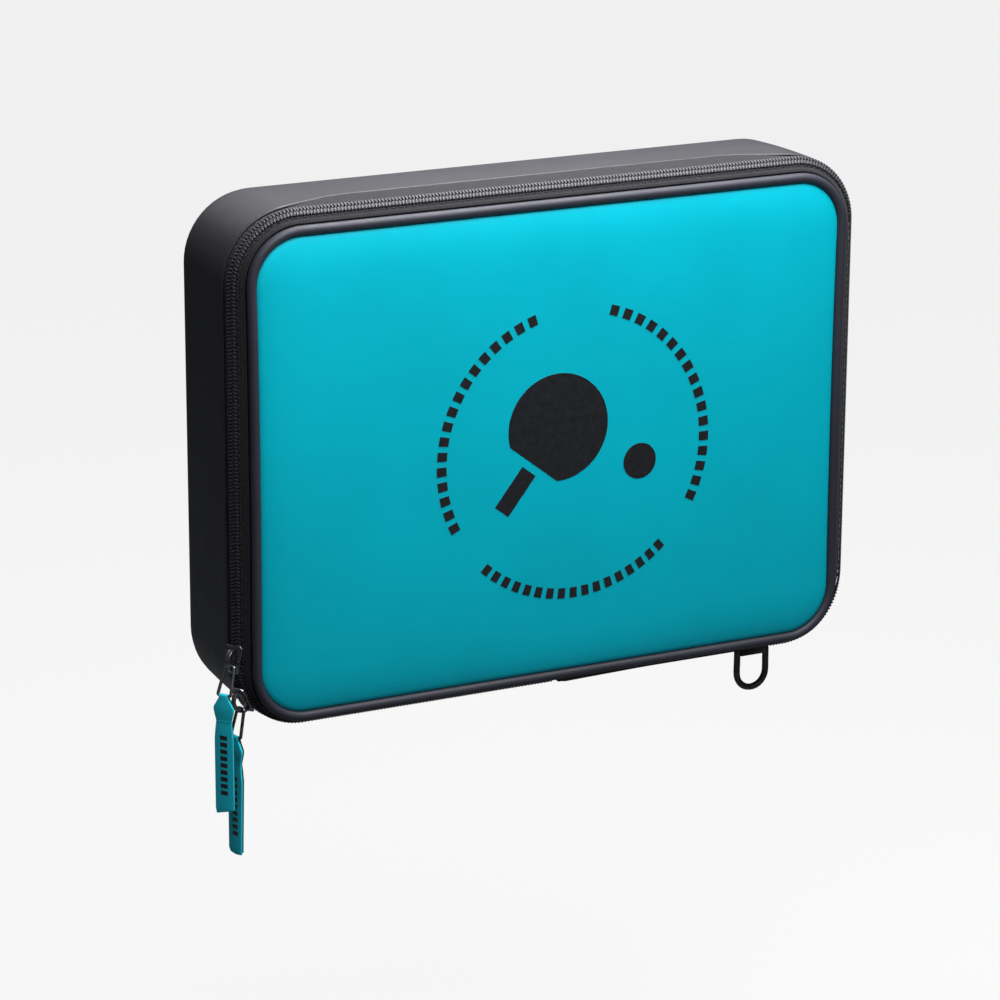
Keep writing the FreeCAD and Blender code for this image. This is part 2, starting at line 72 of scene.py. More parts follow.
LOG = logging.getLogger("paddle_case")
MM = 0.001
WAVE_PERIOD = 0.314          # period of a band wave texture at scale 1
MERGE = 0.01                 # millimetres, for closing a swept outline
TAPE_LIFT = 1.0              # how far the rear tape rises towards the shell's top lip
TOP_START = 8.0              # the top lip starts to move back this far into the corner
TOP_EASE = 36.0              # and has moved the whole way this much further in
RISE_START, RISE_EASE = 0.6, 0.3   # the same up the corner, as shares of its radius


# ---- Small helpers ----
def linear(code: str) -> tuple[float, float, float, float]:
    """Turns an sRGB hex value into a linear colour.

    Args:
        code: The colour as "#RRGGBB".

    Returns:
        The linear red, green, blue and an alpha of 1.
    """
    channels = [int(code[i:i + 2], 16) / 255 for i in (1, 3, 5)]
    values = [c / 12.92 if c <= 0.04045 else ((c + 0.055) / 1.055) ** 2.4 for c in channels]
    return (values[0], values[1], values[2], 1.0)


def add_node(tree: bpy.types.NodeTree, kind: str, inputs: dict | None = None,
             **settings: object) -> bpy.types.Node:
    """Adds a node, sets its properties, and sets or links its inputs.

    Args:
        tree: The node tree.
        kind: The node's type name.
        inputs: Input name or number to a value or to another node's output socket.
        settings: The node's own properties.

    Returns:
        The new node.
    """
    node = tree.nodes.new(kind)
    for name, value in settings.items():
        setattr(node, name, value)
    for key, value in (inputs or {}).items():
        if isinstance(value, bpy.types.NodeSocket):
            tree.links.new(value, node.inputs[key])
        else:
            node.inputs[key].default_value = value
    return node


def mm_box(node: str) -> tuple[Vector, Vector]:
    """Lowest and highest corner of a CAD node, in millimetres."""
    low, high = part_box(node)
    return low / MM, high / MM


def verts_of(geometry: Iterable[object]) -> list[BMVert]:
    """The vertices among what an operator returned."""
    return [g for g in geometry if isinstance(g, BMVert)]


def whole(bm: BMesh) -> list[object]:
    """All vertices, edges and faces."""
    return bm.verts[:] + bm.edges[:] + bm.faces[:]


def cut_along(bm: BMesh, axis: int, cuts: int) -> None:
    """Divides every edge that runs along an axis."""
    edges = [e for e in bm.edges if abs((e.verts[1].co - e.verts[0].co).normalized()[axis]) > 0.99]
    bmesh.ops.subdivide_edges(bm, edges=edges, cuts=cuts, use_grid_fill=True)


def grow(bm: BMesh, edges: Sequence[BMEdge], step: Sequence[float]) -> list[BMEdge]:
    """Extrudes open edges by a step.

    Args:
        bm: The mesh.
        edges: The edges to extrude.
        step: How far they go.

    Returns:
        The new edges.
    """
    grown = bmesh.ops.extrude_edge_only(bm, edges=edges)["geom"]
    fresh = set(verts_of(grown))
    bmesh.ops.translate(bm, verts=list(fresh), vec=step)
    return [g for g in grown if isinstance(g, BMEdge) and set(g.verts) <= fresh]


def shrink_rim(bm: BMesh, rim: Sequence[BMEdge], shares: Sequence[float],
               middle: float = 0.0) -> list[BMEdge]:
    """Extrudes a flat rim inwards, ring by ring.

    Args:
        bm: The mesh.
        rim: The open edges.
        shares: The size of each new ring over the one before.
        middle: Height of the rings' centre.

    Returns:
        The last ring.
    """
    about = Matrix.Translation((0, 0, -middle))
    for share in shares:
        grown = bmesh.ops.extrude_edge_only(bm, edges=rim)["geom"]
        fresh = set(verts_of(grown))
        bmesh.ops.scale(bm, vec=(share, 1, share), verts=list(fresh), space=about)
        rim = [g for g in grown if isinstance(g, BMEdge) and set(g.verts) <= fresh]
    return rim


# ---- Finishes ----
@dataclass(frozen=True)
class Finish:
    """A material: its name, a slot name, two close colours and its gloss."""

    name: str
    slot: str
    colour: str
    shade: str
    roughness: float
    specular: float = 0.5
    sheen: float = 0.0

    def material(self) -> bpy.types.Material:
        """Makes the material the first time that it is asked for.

        Returns:
            The material.
        """
        found = bpy.data.materials.get(self.name)
        if found:
            return found
        made = bpy.data.materials.new(self.name)
        made.use_nodes = True
        tree = made.node_tree
        tree.nodes.clear()
        shader = add_node(tree, "ShaderNodeBsdfPrincipled", {"Roughness": self.roughness})
        shader.inputs["Specular IOR Level"].default_value = self.specular
        shader.inputs["Sheen Weight"].default_value = self.sheen
        shader.inputs["Sheen Roughness"].default_value = 0.5
        add_node(tree, "ShaderNodeOutputMaterial", {"Surface": shader.outputs[0]})
        self.dress(tree, shader, add_node(tree, "ShaderNodeTexCoord"))
        return made

    def dress(self, tree: bpy.types.NodeTree, shader: bpy.types.Node, place: bpy.types.Node) -> None:
        """Adds the finish's own pattern nodes."""
        raise NotImplementedError

    def noise(self, tree: bpy.types.NodeTree, place: bpy.types.NodeSocket, size: float,
              detail: float = 2.0) -> bpy.types.NodeSocket:
        """Adds a noise whose spots are about this size.

        Args:
            tree: The node tree.
            place: The coordinates to read, in metres.
            size: The spots' size in millimetres.
            detail: How many finer layers the noise has.

        Returns:
            The noise's value.
        """
        inputs = {"Vector": place, "Scale": 1 / (size * MM), "Detail": detail}
        return add_node(tree, "ShaderNodeTexNoise", inputs).outputs["Fac"]

    def tint(self, tree: bpy.types.NodeTree, shader: bpy.types.Node, factor: bpy.types.NodeSocket) -> None:
        """Mixes the two colours by a pattern into the base colour.

        Args:
            tree: The node tree.
            shader: The surface shader.
            factor: The pattern, 0 to 1.
        """
        spread = add_node(tree, "ShaderNodeMapRange", {"Value": factor, "From Min": 0.3, "From Max": 0.7})
        mix = add_node(tree, "ShaderNodeMix",
                       {0: spread.outputs[0], 6: linear(self.colour), 7: linear(self.shade)},
                       data_type="RGBA")
        tree.links.new(mix.outputs[2], shader.inputs["Base Color"])

    def vary_gloss(self, tree: bpy.types.NodeTree, shader: bpy.types.Node, factor: bpy.types.NodeSocket,
                   swing: float) -> None:
        """Lets the roughness swing a little either way with a pattern.

        Args:
            tree: The node tree.
            shader: The surface shader.
            factor: The pattern, 0 to 1.
            swing: How far the roughness goes either way.
        """
        spread = add_node(tree, "ShaderNodeMapRange", {
            "Value": factor, "From Min": 0.3, "From Max": 0.7,
            "To Min": self.roughness - swing, "To Max": self.roughness + swing})
        tree.links.new(spread.outputs[0], shader.inputs["Roughness"])

    def relief(self, tree: bpy.types.NodeTree, shader: bpy.types.Node, height: bpy.types.NodeSocket,
               depth: float, strength: float = 1.0) -> None:
        """Adds bump of this depth in millimetres.

        Args:
            tree: The node tree.
            shader: The surface shader.
            height: The pattern that gives the height.
            depth: Depth of the relief in millimetres.
            strength: Share of the relief that shows.
        """
        bump = add_node(tree, "ShaderNodeBump",
                        {"Height": height, "Distance": depth * MM, "Strength": strength})
        tree.links.new(bump.outputs[0], shader.inputs["Normal"])


@dataclass(frozen=True)
class CoatedFabric(Finish):
    """Polyurethane-coated fabric: a smooth skin with a fine pebble grain and soft clouding."""

    grain: float = 0.7           # pebble width
    grain_depth: float = 0.05
    cloud: float = 45.0

    def dress(self, tree: bpy.types.NodeTree, shader: bpy.types.Node, place: bpy.types.Node) -> None:
        """Adds clouding, a fine pebble grain and a slight change of gloss.

        Args:
            tree: The node tree.
            shader: The surface shader.
            place: The texture coordinate node.
        """
        spots = self.noise(tree, place.outputs["Object"], self.cloud, 3.0)
        self.tint(tree, shader, spots)
        self.vary_gloss(tree, shader, self.noise(tree, place.outputs["Object"], self.cloud / 6), 0.04)
        pebbles = add_node(tree, "ShaderNodeTexVoronoi",
                           {"Vector": place.outputs["Object"], "Scale": 1 / (self.grain * MM)},
                           feature="SMOOTH_F1")
        self.relief(tree, shader, pebbles.outputs["Distance"], self.grain_depth)


@dataclass(frozen=True)
class WovenCloth(Finish):
    """Woven polyester: threads over and under each other, drawn on the piece's own UV in millimetres."""

    thread: float = 0.5          # thread spacing
    thread_depth: float = 0.12

    def dress(self, tree: bpy.types.NodeTree, shader: bpy.types.Node, place: bpy.types.Node) -> None:
        """Adds the weave as colour and relief, with uneven threads.

        Args:
            tree: The node tree.
            shader: The surface shader.
            place: The texture coordinate node.
        """
        flat = place.outputs["UV"]
        waves = []
        for direction in ("X", "Y"):
            inputs = {"Vector": flat, "Scale": WAVE_PERIOD / (2 * self.thread), "Distortion": 0.6,
                      "Detail Scale": 0.5}
            wave = add_node(tree, "ShaderNodeTexWave", inputs, bands_direction=direction)
            waves.append(wave.outputs["Fac"])
        over = add_node(tree, "ShaderNodeTexChecker", {"Vector": flat, "Scale": 1 / self.thread})
        weave = add_node(tree, "ShaderNodeMix", {0: over.outputs["Fac"], 2: waves[0], 3: waves[1]})
        fuzz = self.noise(tree, place.outputs["Object"], self.thread * 2.5)
        body = add_node(tree, "ShaderNodeMath", {0: weave.outputs[0], 1: fuzz}, operation="MULTIPLY")
        self.tint(tree, shader, add_node(tree, "ShaderNodeMath", {0: body.outputs[0], 1: 0.18}).outputs[0])
        self.relief(tree, shader, body.outputs[0], self.thread_depth)


@dataclass(frozen=True)
class BrushedCloth(Finish):
    """Brushed knit lining: short soft pile with a faint nap and a sheen at glancing angles."""

    pile: float = 0.5

    def dress(self, tree: bpy.types.NodeTree, shader: bpy.types.Node, place: bpy.types.Node) -> None:
        """Adds nap clouds and pile relief.

        Args:
            tree: The node tree.
            shader: The surface shader.
            place: The texture coordinate node.
        """
        nap = self.noise(tree, place.outputs["Object"], 14.0, 4.0)
        pile = self.noise(tree, place.outputs["Object"], self.pile, 4.0)
        both = add_node(tree, "ShaderNodeMath", {0: nap, 1: pile}, operation="MULTIPLY")
        self.tint(tree, shader, add_node(tree, "ShaderNodeMath", {0: both.outputs[0], 1: 0.24}).outputs[0])
        self.relief(tree, shader, pile, 0.18)


@dataclass(frozen=True)
class Moulded(Finish):
    """Moulded or drawn plastic and foam: fine random texture."""

    texture: float = 0.4
    texture_depth: float = 0.02
    cells: bool = False

    def dress(self, tree: bpy.types.NodeTree, shader: bpy.types.Node, place: bpy.types.Node) -> None:
        """Adds speckle, or the round cells of foam.

        Args:
            tree: The node tree.
            shader: The surface shader.
            place: The texture coordinate node.
        """
        speck = self.noise(tree, place.outputs["Object"], self.texture * 6, 3.0)
        self.tint(tree, shader, speck)
        self.vary_gloss(tree, shader, speck, 0.05)
        grit = self.noise(tree, place.outputs["Object"], self.texture, 2.0)
        if self.cells:
            bubbles = add_node(tree, "ShaderNodeTexVoronoi",
                               {"Vector": place.outputs["Object"], "Scale": 1 / (self.texture * MM)})
            grit = bubbles.outputs["Distance"]
        self.relief(tree, shader, grit, self.texture_depth)


@dataclass(frozen=True)
class PlatedMetal(Finish):
    """Die-cast or drawn metal with a dark plating: smooth, with faint tumbling marks and rubbed spots."""

    marks: float = 0.9

    def dress(self, tree: bpy.types.NodeTree, shader: bpy.types.Node, place: bpy.types.Node) -> None:
        """Adds rubbed spots, gloss changes and shallow tumbling marks.

        Args:
            tree: The node tree.
            shader: The surface shader.
            place: The texture coordinate node.
        """
        shader.inputs["Metallic"].default_value = 1.0
        rubbed = self.noise(tree, place.outputs["Object"], 2.4, 4.0)
        self.tint(tree, shader, rubbed)
        self.vary_gloss(tree, shader, rubbed, 0.07)
        self.relief(tree, shader, self.noise(tree, place.outputs["Object"], self.marks, 3.0), 0.02)


# Polyurethane-coated fabric, smooth satin face that shows soft cloudy highlights.
TURQUOISE_FACE = CoatedFabric("turquoise_coated_fabric", "turquoise_pu", "#00A9BD", "#00A3B6", 0.5, 0.12,
                              grain=0.6, grain_depth=0.012)
# The same coating in black, over piping cord: satin with a narrow soft highlight.
BLACK_BEAD = CoatedFabric("black_coated_piping", "black_pu", "#262630", "#2C2C37", 0.54, 0.34,
                          grain=0.6, grain_depth=0.02)
# Heat-moulded coated fabric over foam: matte, rubbery, slightly clouded.
BLACK_SHELL = CoatedFabric("black_moulded_shell", "black_pu", "#222227", "#28282E", 0.48, 0.42,
                           grain=0.5, grain_depth=0.016, cloud=70.0)
# Polyester zip tape in a fine twill: dull, with a visible thread.
ZIP_TAPE = WovenCloth("woven_zip_tape", "zip_tape", "#0E0E11", "#26262D", 0.82, 0.2, 0.08, thread=0.5)
# Nylon monofilament, drawn and coiled: dark with a small bright line on each turn.
COIL_NYLON = Moulded("nylon_coil", "zip_coil", "#36363B", "#46464C", 0.42, 0.4,
                     texture=0.3, texture_depth=0.006)
# Polyester webbing, coarse ribbed weave.
WEBBING = WovenCloth("black_webbing", "webbing", "#0B0B0D", "#27272C", 0.8, 0.3, 0.2,
                     thread=0.9, thread_depth=0.2)
# Grosgrain binding tape, fine cross ribs.
BINDING = WovenCloth("grosgrain_binding", "webbing", "#0D0D10", "#26262B", 0.75, 0.3, 0.2, thread=0.6,
                     thread_depth=0.15)
# Elastic knit band: soft ribs.
ELASTIC = WovenCloth("black_elastic", "webbing", "#101013", "#2B2B31", 0.82, 0.25, 0.3, thread=0.8,
                     thread_depth=0.22)
# Polyester sewing thread.
THREAD = Moulded("polyester_thread", "webbing", "#0E0E10", "#1C1C20", 0.7, texture=0.25, texture_depth=0.03)
# Transfer film heat-pressed on the face: slightly glossier than the face.
FILM = Moulded("transfer_film", "print_film", "#17181B", "#1C1D21", 0.36, 0.5,
                texture=0.5, texture_depth=0.008)
# Turquoise coated ribbon, folded and sewn.
RIBBON = CoatedFabric("turquoise_ribbon", "turquoise_ribbon", "#00A3BD", "#0098B1", 0.55, 0.2,
                      grain=0.5, grain_depth=0.02, cloud=12.0)
# Black woven back of the ribbon.
RIBBON_BACK = WovenCloth("ribbon_backing", "turquoise_ribbon", "#0E1214", "#20272A", 0.75, 0.3, thread=0.45)
# Gunmetal-plated zinc casting and steel wire.
GUNMETAL = PlatedMetal("gunmetal_plating", "gunmetal", "#6B6B6E", "#838386", 0.3)
# Darker plated wire of the hanging ring.
RING_METAL = PlatedMetal("dark_plated_wire", "gunmetal", "#3C3C3F", "#4D4D50", 0.34)
# Brushed polyester lining.
LINING = BrushedCloth("brushed_lining", "lining_fabric", "#1A1B1E", "#2F3136", 0.92, 0.2, 0.5)
# Closed-cell EVA foam.
FOAM = Moulded("eva_foam", "eva_foam", "#2A2A2D", "#343438", 0.85, 0.3,
                texture=0.6, texture_depth=0.06, cells=True)
# Polyethylene stiffening board, calendered.
BOARD = Moulded("stiffening_board", "board", "#C9C7BF", "#BDBBB2", 0.5, texture=0.8, texture_depth=0.01)
# Polyester netting yarn.
NET = Moulded("netting_yarn", "net", "#121214", "#26262A", 0.7, 0.3, texture=0.3, texture_depth=0.03)


# ---- The outline that every wall of the case follows ----
@dataclass(frozen=True)
class CaseShape:
    """The case's rounded outline in millimetres, and how it changes with depth behind the front face."""

    half_width: float
    half_height: float
    depth: float
    corner: float = 25.0
    tape_front: float = 2.4
    tape_knee: float = 8.3
    flare_front: float = 0.9
    flare_knee: float = 5.2
    zip_depth: float = 7.0
    pull_in: float = 1.0         # how far the padded lid's sides draw in at mid height
    pull_end: float = 7.5        # depth at which that has faded out

    @classmethod
    def from_frame(cls) -> "CaseShape":
        """Reads the outline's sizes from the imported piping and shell."""
        piping = mm_box("front_piping")[1]
        return cls(half_width=piping.x, half_height=piping.z, depth=-mm_box("front_panel_skin")[0].y)

    @property
    def slope(self) -> float:
        """How far the tape leans outwards for each millimetre of depth."""
        return (self.flare_knee - self.flare_front) / (self.tape_knee - self.tape_front)

    def y(self, depth: float) -> float:
        """Turns a depth behind the front face into the frame's Y."""
        return depth - self.depth

    def tape_flare(self, depth: float) -> float:
        """How far the tape's outer face stands outside the piping."""
        return self.flare_front + self.slope * (min(depth, self.tape_knee) - self.tape_front)

    def tuck(self, depth: float) -> float:
        """How far the flat bottom is lifted to give back the flare."""
        return max(0.0, self.tape_flare(depth) - self.flare_front)

    def sweep(self, profile: Sequence[tuple[float, float]], closed: bool = True, tucked: bool = True,
              runs: int = 8, turns: int = 10) -> BMesh:
        """Carries a profile round the outline.

        Args:
            profile: Points of (depth, flare); flare is how far outside the piping the point stands.
            closed: Whether the last point joins the first.
            tucked: Whether the bottom is kept flat.
            runs: Steps along each side.
            turns: Steps round each corner.

        Returns:
            The swept mesh, in millimetres, joined end to end.
        """
        bm = bmesh.new()
        points = [bm.verts.new((0.0, self.y(depth), self.half_height + flare)) for depth, flare in profile]
        ends = points[1:] + points[:1] if closed else points[1:]
        edges = [bm.edges.new(pair) for pair in zip(points, ends)]
        across = self.half_width - self.corner
        upright = self.half_height - self.corner
        legs = (
            (Vector((across, 0, 0)), Vector((across, 0, upright))),
            (Vector((0, 0, -2 * upright)), Vector((across, 0, -upright))),
            (Vector((-2 * across, 0, 0)), Vector((-across, 0, -upright))),
            (Vector((0, 0, 2 * upright)), Vector((-across, 0, upright))),
            (Vector((across, 0, 0)), None),
        )
        for leg, centre in legs:
            for _ in range(runs):
                edges = grow(bm, edges, leg / runs)
            if centre is not None:
                around = {v for e in edges for v in e.verts}
                turned = bmesh.ops.spin(bm, geom=list(around) + edges, cent=centre, axis=(0, 1, 0),
                                        angle=math.pi / 2, steps=turns, use_merge=False,
                                        use_duplicate=False)["geom_last"]
                edges = [g for g in turned if isinstance(g, BMEdge)]
        bmesh.ops.remove_doubles(bm, verts=bm.verts, dist=MERGE)
        if tucked:
            level = -upright + MERGE
            for vert in bm.verts:
                if vert.co.z < level:
                    vert.co.z += self.tuck(vert.co.y + self.depth)
        return bm

    def draw_in(self, bm: BMesh) -> None:
        """Draws the soft lid's sides in at mid height, less and less towards the zip.

        Args:
            bm: The mesh.
        """
        for vert in bm.verts:
            fade = min(1.0, max(0.0, (self.pull_end - (vert.co.y + self.depth)) / 5.0))
            bow = max(0.0, 1 - (vert.co.z / self.half_height) ** 2)
            vert.co.x -= self.pull_in * fade * bow * vert.co.x / self.half_width

    def lay_uv(self, bm: BMesh) -> None:
        """Gives the mesh a UV in millimetres: the run round the outline, and the depth.

        Args:
            bm: The mesh.
        """
        layer = bm.loops.layers.uv.verify()
        across = self.half_width - self.corner
        upright = self.half_height - self.corner
        quarter = self.corner * math.pi / 2
        total = 4 * (across + upright + quarter)

        def run(point: Vector) -> float:
            """Distance round the outline, clockwise from the top's middle.

            Args:
                point: A point on the outline.

            Returns:
                The distance in millimetres.
            """
            if point.x >= 0 or abs(point.x) <= across and point.z > 0:
                if abs(point.x) <= across:
                    return point.x if point.z > 0 else total / 2 - point.x
            ex, ez = abs(point.x) - across, abs(point.z) - upright
            if ex <= 0:
                return total / 2 - point.x
            turn = math.atan2(ex, ez) if ez > 0 else math.pi / 2
            first = across + self.corner * turn + (upright - abs(point.z) if ez <= 0 else 0.0)
            if point.x > 0:
                return first if point.z > 0 else total / 2 - first
            return total - first if point.z > 0 else total / 2 + first

        for face in bm.faces:
            middle = run(face.calc_center_median()) % total
            for loop in face.loops:
                here = run(loop.vert.co)
                here += total * round((middle - here) / total)
                loop[layer].uv = (here, loop.vert.co.y)

    def walk(self, pitch: float, depth: float) -> Iterator[tuple[Vector, Vector, Vector]]:
        """Steps clockwise round the tape's outer face, seen from the front.

        Args:
            pitch: Distance between two steps.
            depth: The depth at which to walk.

        Yields:
            The point, the direction of travel and the outward direction.
        """
        flare = self.tape_flare(depth)
        across = self.half_width - self.corner
        high = self.half_height - self.corner
        low = -high + self.tuck(depth)
        radius = self.corner + flare
        sides = (
            (Vector((-across, 0, high)), Vector((0, 0, 1)), 2 * across),
            (Vector((across, 0, high)), Vector((1, 0, 0)), high - low),
            (Vector((across, 0, low)), Vector((0, 0, -1)), 2 * across),
            (Vector((-across, 0, low)), Vector((-1, 0, 0)), high - low),
        )
        travelled = 0.0
        for centre, out, length in sides:
            along = Vector((out.z, 0, -out.x))
            while travelled < length:
                point = centre + along * travelled + out * radius
                point.y = self.y(depth)
                yield point, along, out
                travelled += pitch
            travelled -= length
            arc = radius * math.pi / 2
            corner = centre + along * length
            while travelled < arc:
                turn = Matrix.Rotation(travelled / radius, 3, "Y")
                point = corner + turn @ out * radius
                point.y = self.y(depth)
                yield point, turn @ along, turn @ out
                travelled += pitch
            travelled -= arc

    def across(self, out: Vector) -> Vector:
        """Direction across the tape, from the lid to the rear half, where the wall faces out."""
        lean = self.slope * (1 - max(0.0, -out.z))
        return (out * lean + Vector((0, 1, 0))).normalized()


CASE = CaseShape.from_frame()


# ---- Making pieces ----
class Unwrap(Enum):
    """How a piece's UV is laid for a woven finish."""

    NONE = "none"
    OUTLINE = "outline"
    BOX = "box"


def lay_box_uv(bm: BMesh) -> None:
    """Gives each face a UV in millimetres, seen along the axis that it faces most.

    Args:
        bm: The mesh.
    """
    layer = bm.loops.layers.uv.verify()
    for face in bm.faces:
        facing = [abs(n) for n in face.normal]
        keep = [axis for axis in range(3) if axis != facing.index(max(facing))]
        for loop in face.loops:
            loop[layer].uv = (loop.vert.co[keep[0]], loop.vert.co[keep[1]])


def make_piece(bm: BMesh, name: str, finish: Finish, body: str | None, replaces: Sequence[str] = (),
               unwrap: Unwrap = Unwrap.NONE, sharp: float = 38.0, recalc: bool = True) -> bpy.types.Object:
    """Turns a mesh in millimetres into a finished piece of the case.

    Args:
        bm: The mesh, which is used up.
        name: The piece's name.
        finish: Its material.
        body: The CAD body that it rides on, or None for a piece that rides on no body.
        replaces: CAD nodes that it stands for.
        unwrap: How its UV is laid.
        sharp: Edges that turn more than this many degrees are drawn sharp.
        recalc: Whether its faces are turned outwards again.

    Returns:
        The piece's object.
    """
    if recalc:
        bmesh.ops.recalc_face_normals(bm, faces=bm.faces)
    bm.normal_update()
    if unwrap is Unwrap.OUTLINE:
        CASE.lay_uv(bm)
    elif unwrap is Unwrap.BOX:
        lay_box_uv(bm)
    bmesh.ops.scale(bm, vec=(MM, MM, MM), verts=bm.verts)
    mesh = bpy.data.meshes.new(name)
    bm.to_mesh(mesh)
    bm.free()
    mesh.polygons.foreach_set("use_smooth", [True] * len(mesh.polygons))
    mesh.set_sharp_from_angle(angle=math.radians(sharp))
    piece = bpy.data.objects.new(name, mesh)
    bpy.context.scene.collection.objects.link(piece)
    mesh.materials.append(finish.material())
    if body is not None:
        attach(piece, body)
    if replaces:
        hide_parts(*replaces)
    LOG.info("%s: %d faces", name, len(mesh.polygons))
    return piece


def dress_node(node: str, finish: Finish) -> None:
    """Gives a CAD node that stays in view its finish.

    Args:
        node: The node's name.
        finish: The finish.
    """
    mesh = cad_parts[node].data
    mesh.materials.clear()
    mesh.materials.append(finish.material())
    LOG.info("%s keeps its shape, in %s", node, finish.name)


def solidify(piece: bpy.types.Object, thickness: float, offset: float = -1.0) -> None:
    """Gives an open skin its thickness in millimetres.

    Args:
        piece: The piece.
        thickness: The thickness in millimetres.
        offset: -1 for inwards, 0 for both ways.
    """
    modifier = piece.modifiers.new("wall", "SOLIDIFY")
    modifier.thickness = thickness * MM
    modifier.offset = offset
    modifier.use_even_offset = True


def slab(low: Sequence[float], high: Sequence[float], soften: float = 0.0, segments: int = 2) -> BMesh:
    """A block between two corners, with softened edges.

    Args:
        low: Lowest corner in millimetres.
        high: Highest corner.
        soften: Width of the rounding.
        segments: Steps in the rounding.

    Returns:
        The block's mesh.
    """
    bm = bmesh.new()
    bmesh.ops.create_cube(bm, size=1.0)
    size = [h - l for l, h in zip(low, high)]
    bmesh.ops.scale(bm, vec=size, verts=bm.verts)
    bmesh.ops.translate(bm, vec=[(l + h) / 2 for l, h in zip(low, high)], verts=bm.verts)
    if soften:
        bmesh.ops.bevel(bm, geom=list(bm.edges), offset=soften, segments=segments, profile=0.5,
                        affect="EDGES", material=-1)
    return bm


def merge_into(target: BMesh, source: BMesh) -> None:
    """Adds one mesh to another and frees it.

    Args:
        target: The mesh that grows.
        source: The mesh that is used up.
    """
    scratch = bpy.data.meshes.new("scratch")
    source.to_mesh(scratch)
    source.free()
    target.from_mesh(scratch)
    bpy.data.meshes.remove(scratch)


def stitch(length: float, thread: float) -> BMesh:
    """One sewn stitch lying along X on the plane Z = 0, its two ends dipping in.

    Args:
        length: The stitch's length.
        thread: The thread's thickness.

    Returns:
        The stitch's mesh.
    """
    bm = bmesh.new()
    ring = bmesh.ops.create_circle(bm, segments=5, radius=thread / 2)["verts"]
    bmesh.ops.rotate(bm, verts=ring, matrix=Matrix.Rotation(math.pi / 2, 3, "Y"))
    bmesh.ops.translate(bm, verts=ring, vec=(-length / 2, 0, -thread * 0.5))
    edges = list(bm.edges)
    for share, lift in ((0.2, 0.75), (0.6, 0.0), (0.2, -0.75)):
        edges = grow(bm, edges, (length * share, 0, lift * thread))
    bmesh.ops.holes_fill(bm, edges=bm.edges)
    return bm


def place_copies(shape: BMesh, places: Iterable[Matrix]) -> BMesh:
    """Repeats a small mesh at each place.

    Args:
        shape: The mesh to repeat, which is used up.
        places: One matrix for each copy.

    Returns:
        All the copies in one mesh.
    """
    scratch = bpy.data.meshes.new("scratch")
    shape.to_mesh(scratch)
    shape.free()
    bm = bmesh.new()
    for place in places:
        before = len(bm.verts)
        bm.from_mesh(scratch)
        bm.verts.ensure_lookup_table()
        bmesh.ops.transform(bm, matrix=place, verts=bm.verts[before:])
    bpy.data.meshes.remove(scratch)
    return bm


def axes(x: Vector, y: Vector, z: Vector, origin: Vector) -> Matrix:
    """A matrix whose axes and origin are these.

    Args:
        x: The first axis.
        y: The second axis.
        z: The third axis.
        origin: The origin.

    Returns:
        The matrix.
    """
    matrix = Matrix((x, y, z)).transposed().to_4x4()
    matrix.translation = origin
    return matrix


def seam(start: Vector, end: Vector, out: Vector, pitch: float = 3.2, thread: float = 0.55) -> BMesh:
    """A straight row of stitches.

    Args:
        start: Where the row starts.
        end: Where it ends.
        out: The direction that the cloth faces.
        pitch: Distance from one stitch to the next.
        thread: The thread's thickness.

    Returns:
        The stitches' mesh.
    """
    along = (end - start).normalized()
    count = max(1, int((end - start).length / pitch))
    step = (end - start) / count
    side = out.cross(along)
    places = [axes(along, side, out, start + step * (i + 0.5)) for i in range(count)]
    return place_copies(stitch(pitch * 0.72, thread), places)


def wire(name: str, points: Sequence[Vector], radius: float, finish: Finish, body: str,
         replaces: Sequence[str]) -> bpy.types.Object:
    """A closed loop of bent round wire along a smooth line.

    Args:
        name: The piece's name.
        points: The control points, in millimetres; a point given twice makes a tighter bend.
        radius: The wire's radius.
        finish: Its material.
        body: The CAD body that it rides on.
        replaces: CAD nodes that it stands for.

    Returns:
        The piece's object.
    """
    curve = bpy.data.curves.new(name + "_line", "CURVE")
    curve.dimensions = "3D"
    spline = curve.splines.new("NURBS")
    spline.points.add(len(points) - 1)
    for target, point in zip(spline.points, points):
        target.co = (*point, 1.0)
    spline.order_u = 3
    spline.use_cyclic_u = True
    spline.use_endpoint_u = False
    spline.resolution_u = 6
    curve.bevel_depth = radius
    curve.bevel_resolution = 3
    curve.use_fill_caps = False
    holder = bpy.data.objects.new(name + "_line", curve)
    mesh = bpy.data.meshes.new_from_object(holder)
    bm = bmesh.new()
    bm.from_mesh(mesh)
    bmesh.ops.remove_doubles(bm, verts=bm.verts, dist=MERGE / 2)
    bpy.data.objects.remove(holder)
    bpy.data.curves.remove(curve)
    bpy.data.meshes.remove(mesh)
    return make_piece(bm, name, finish, body, replaces)


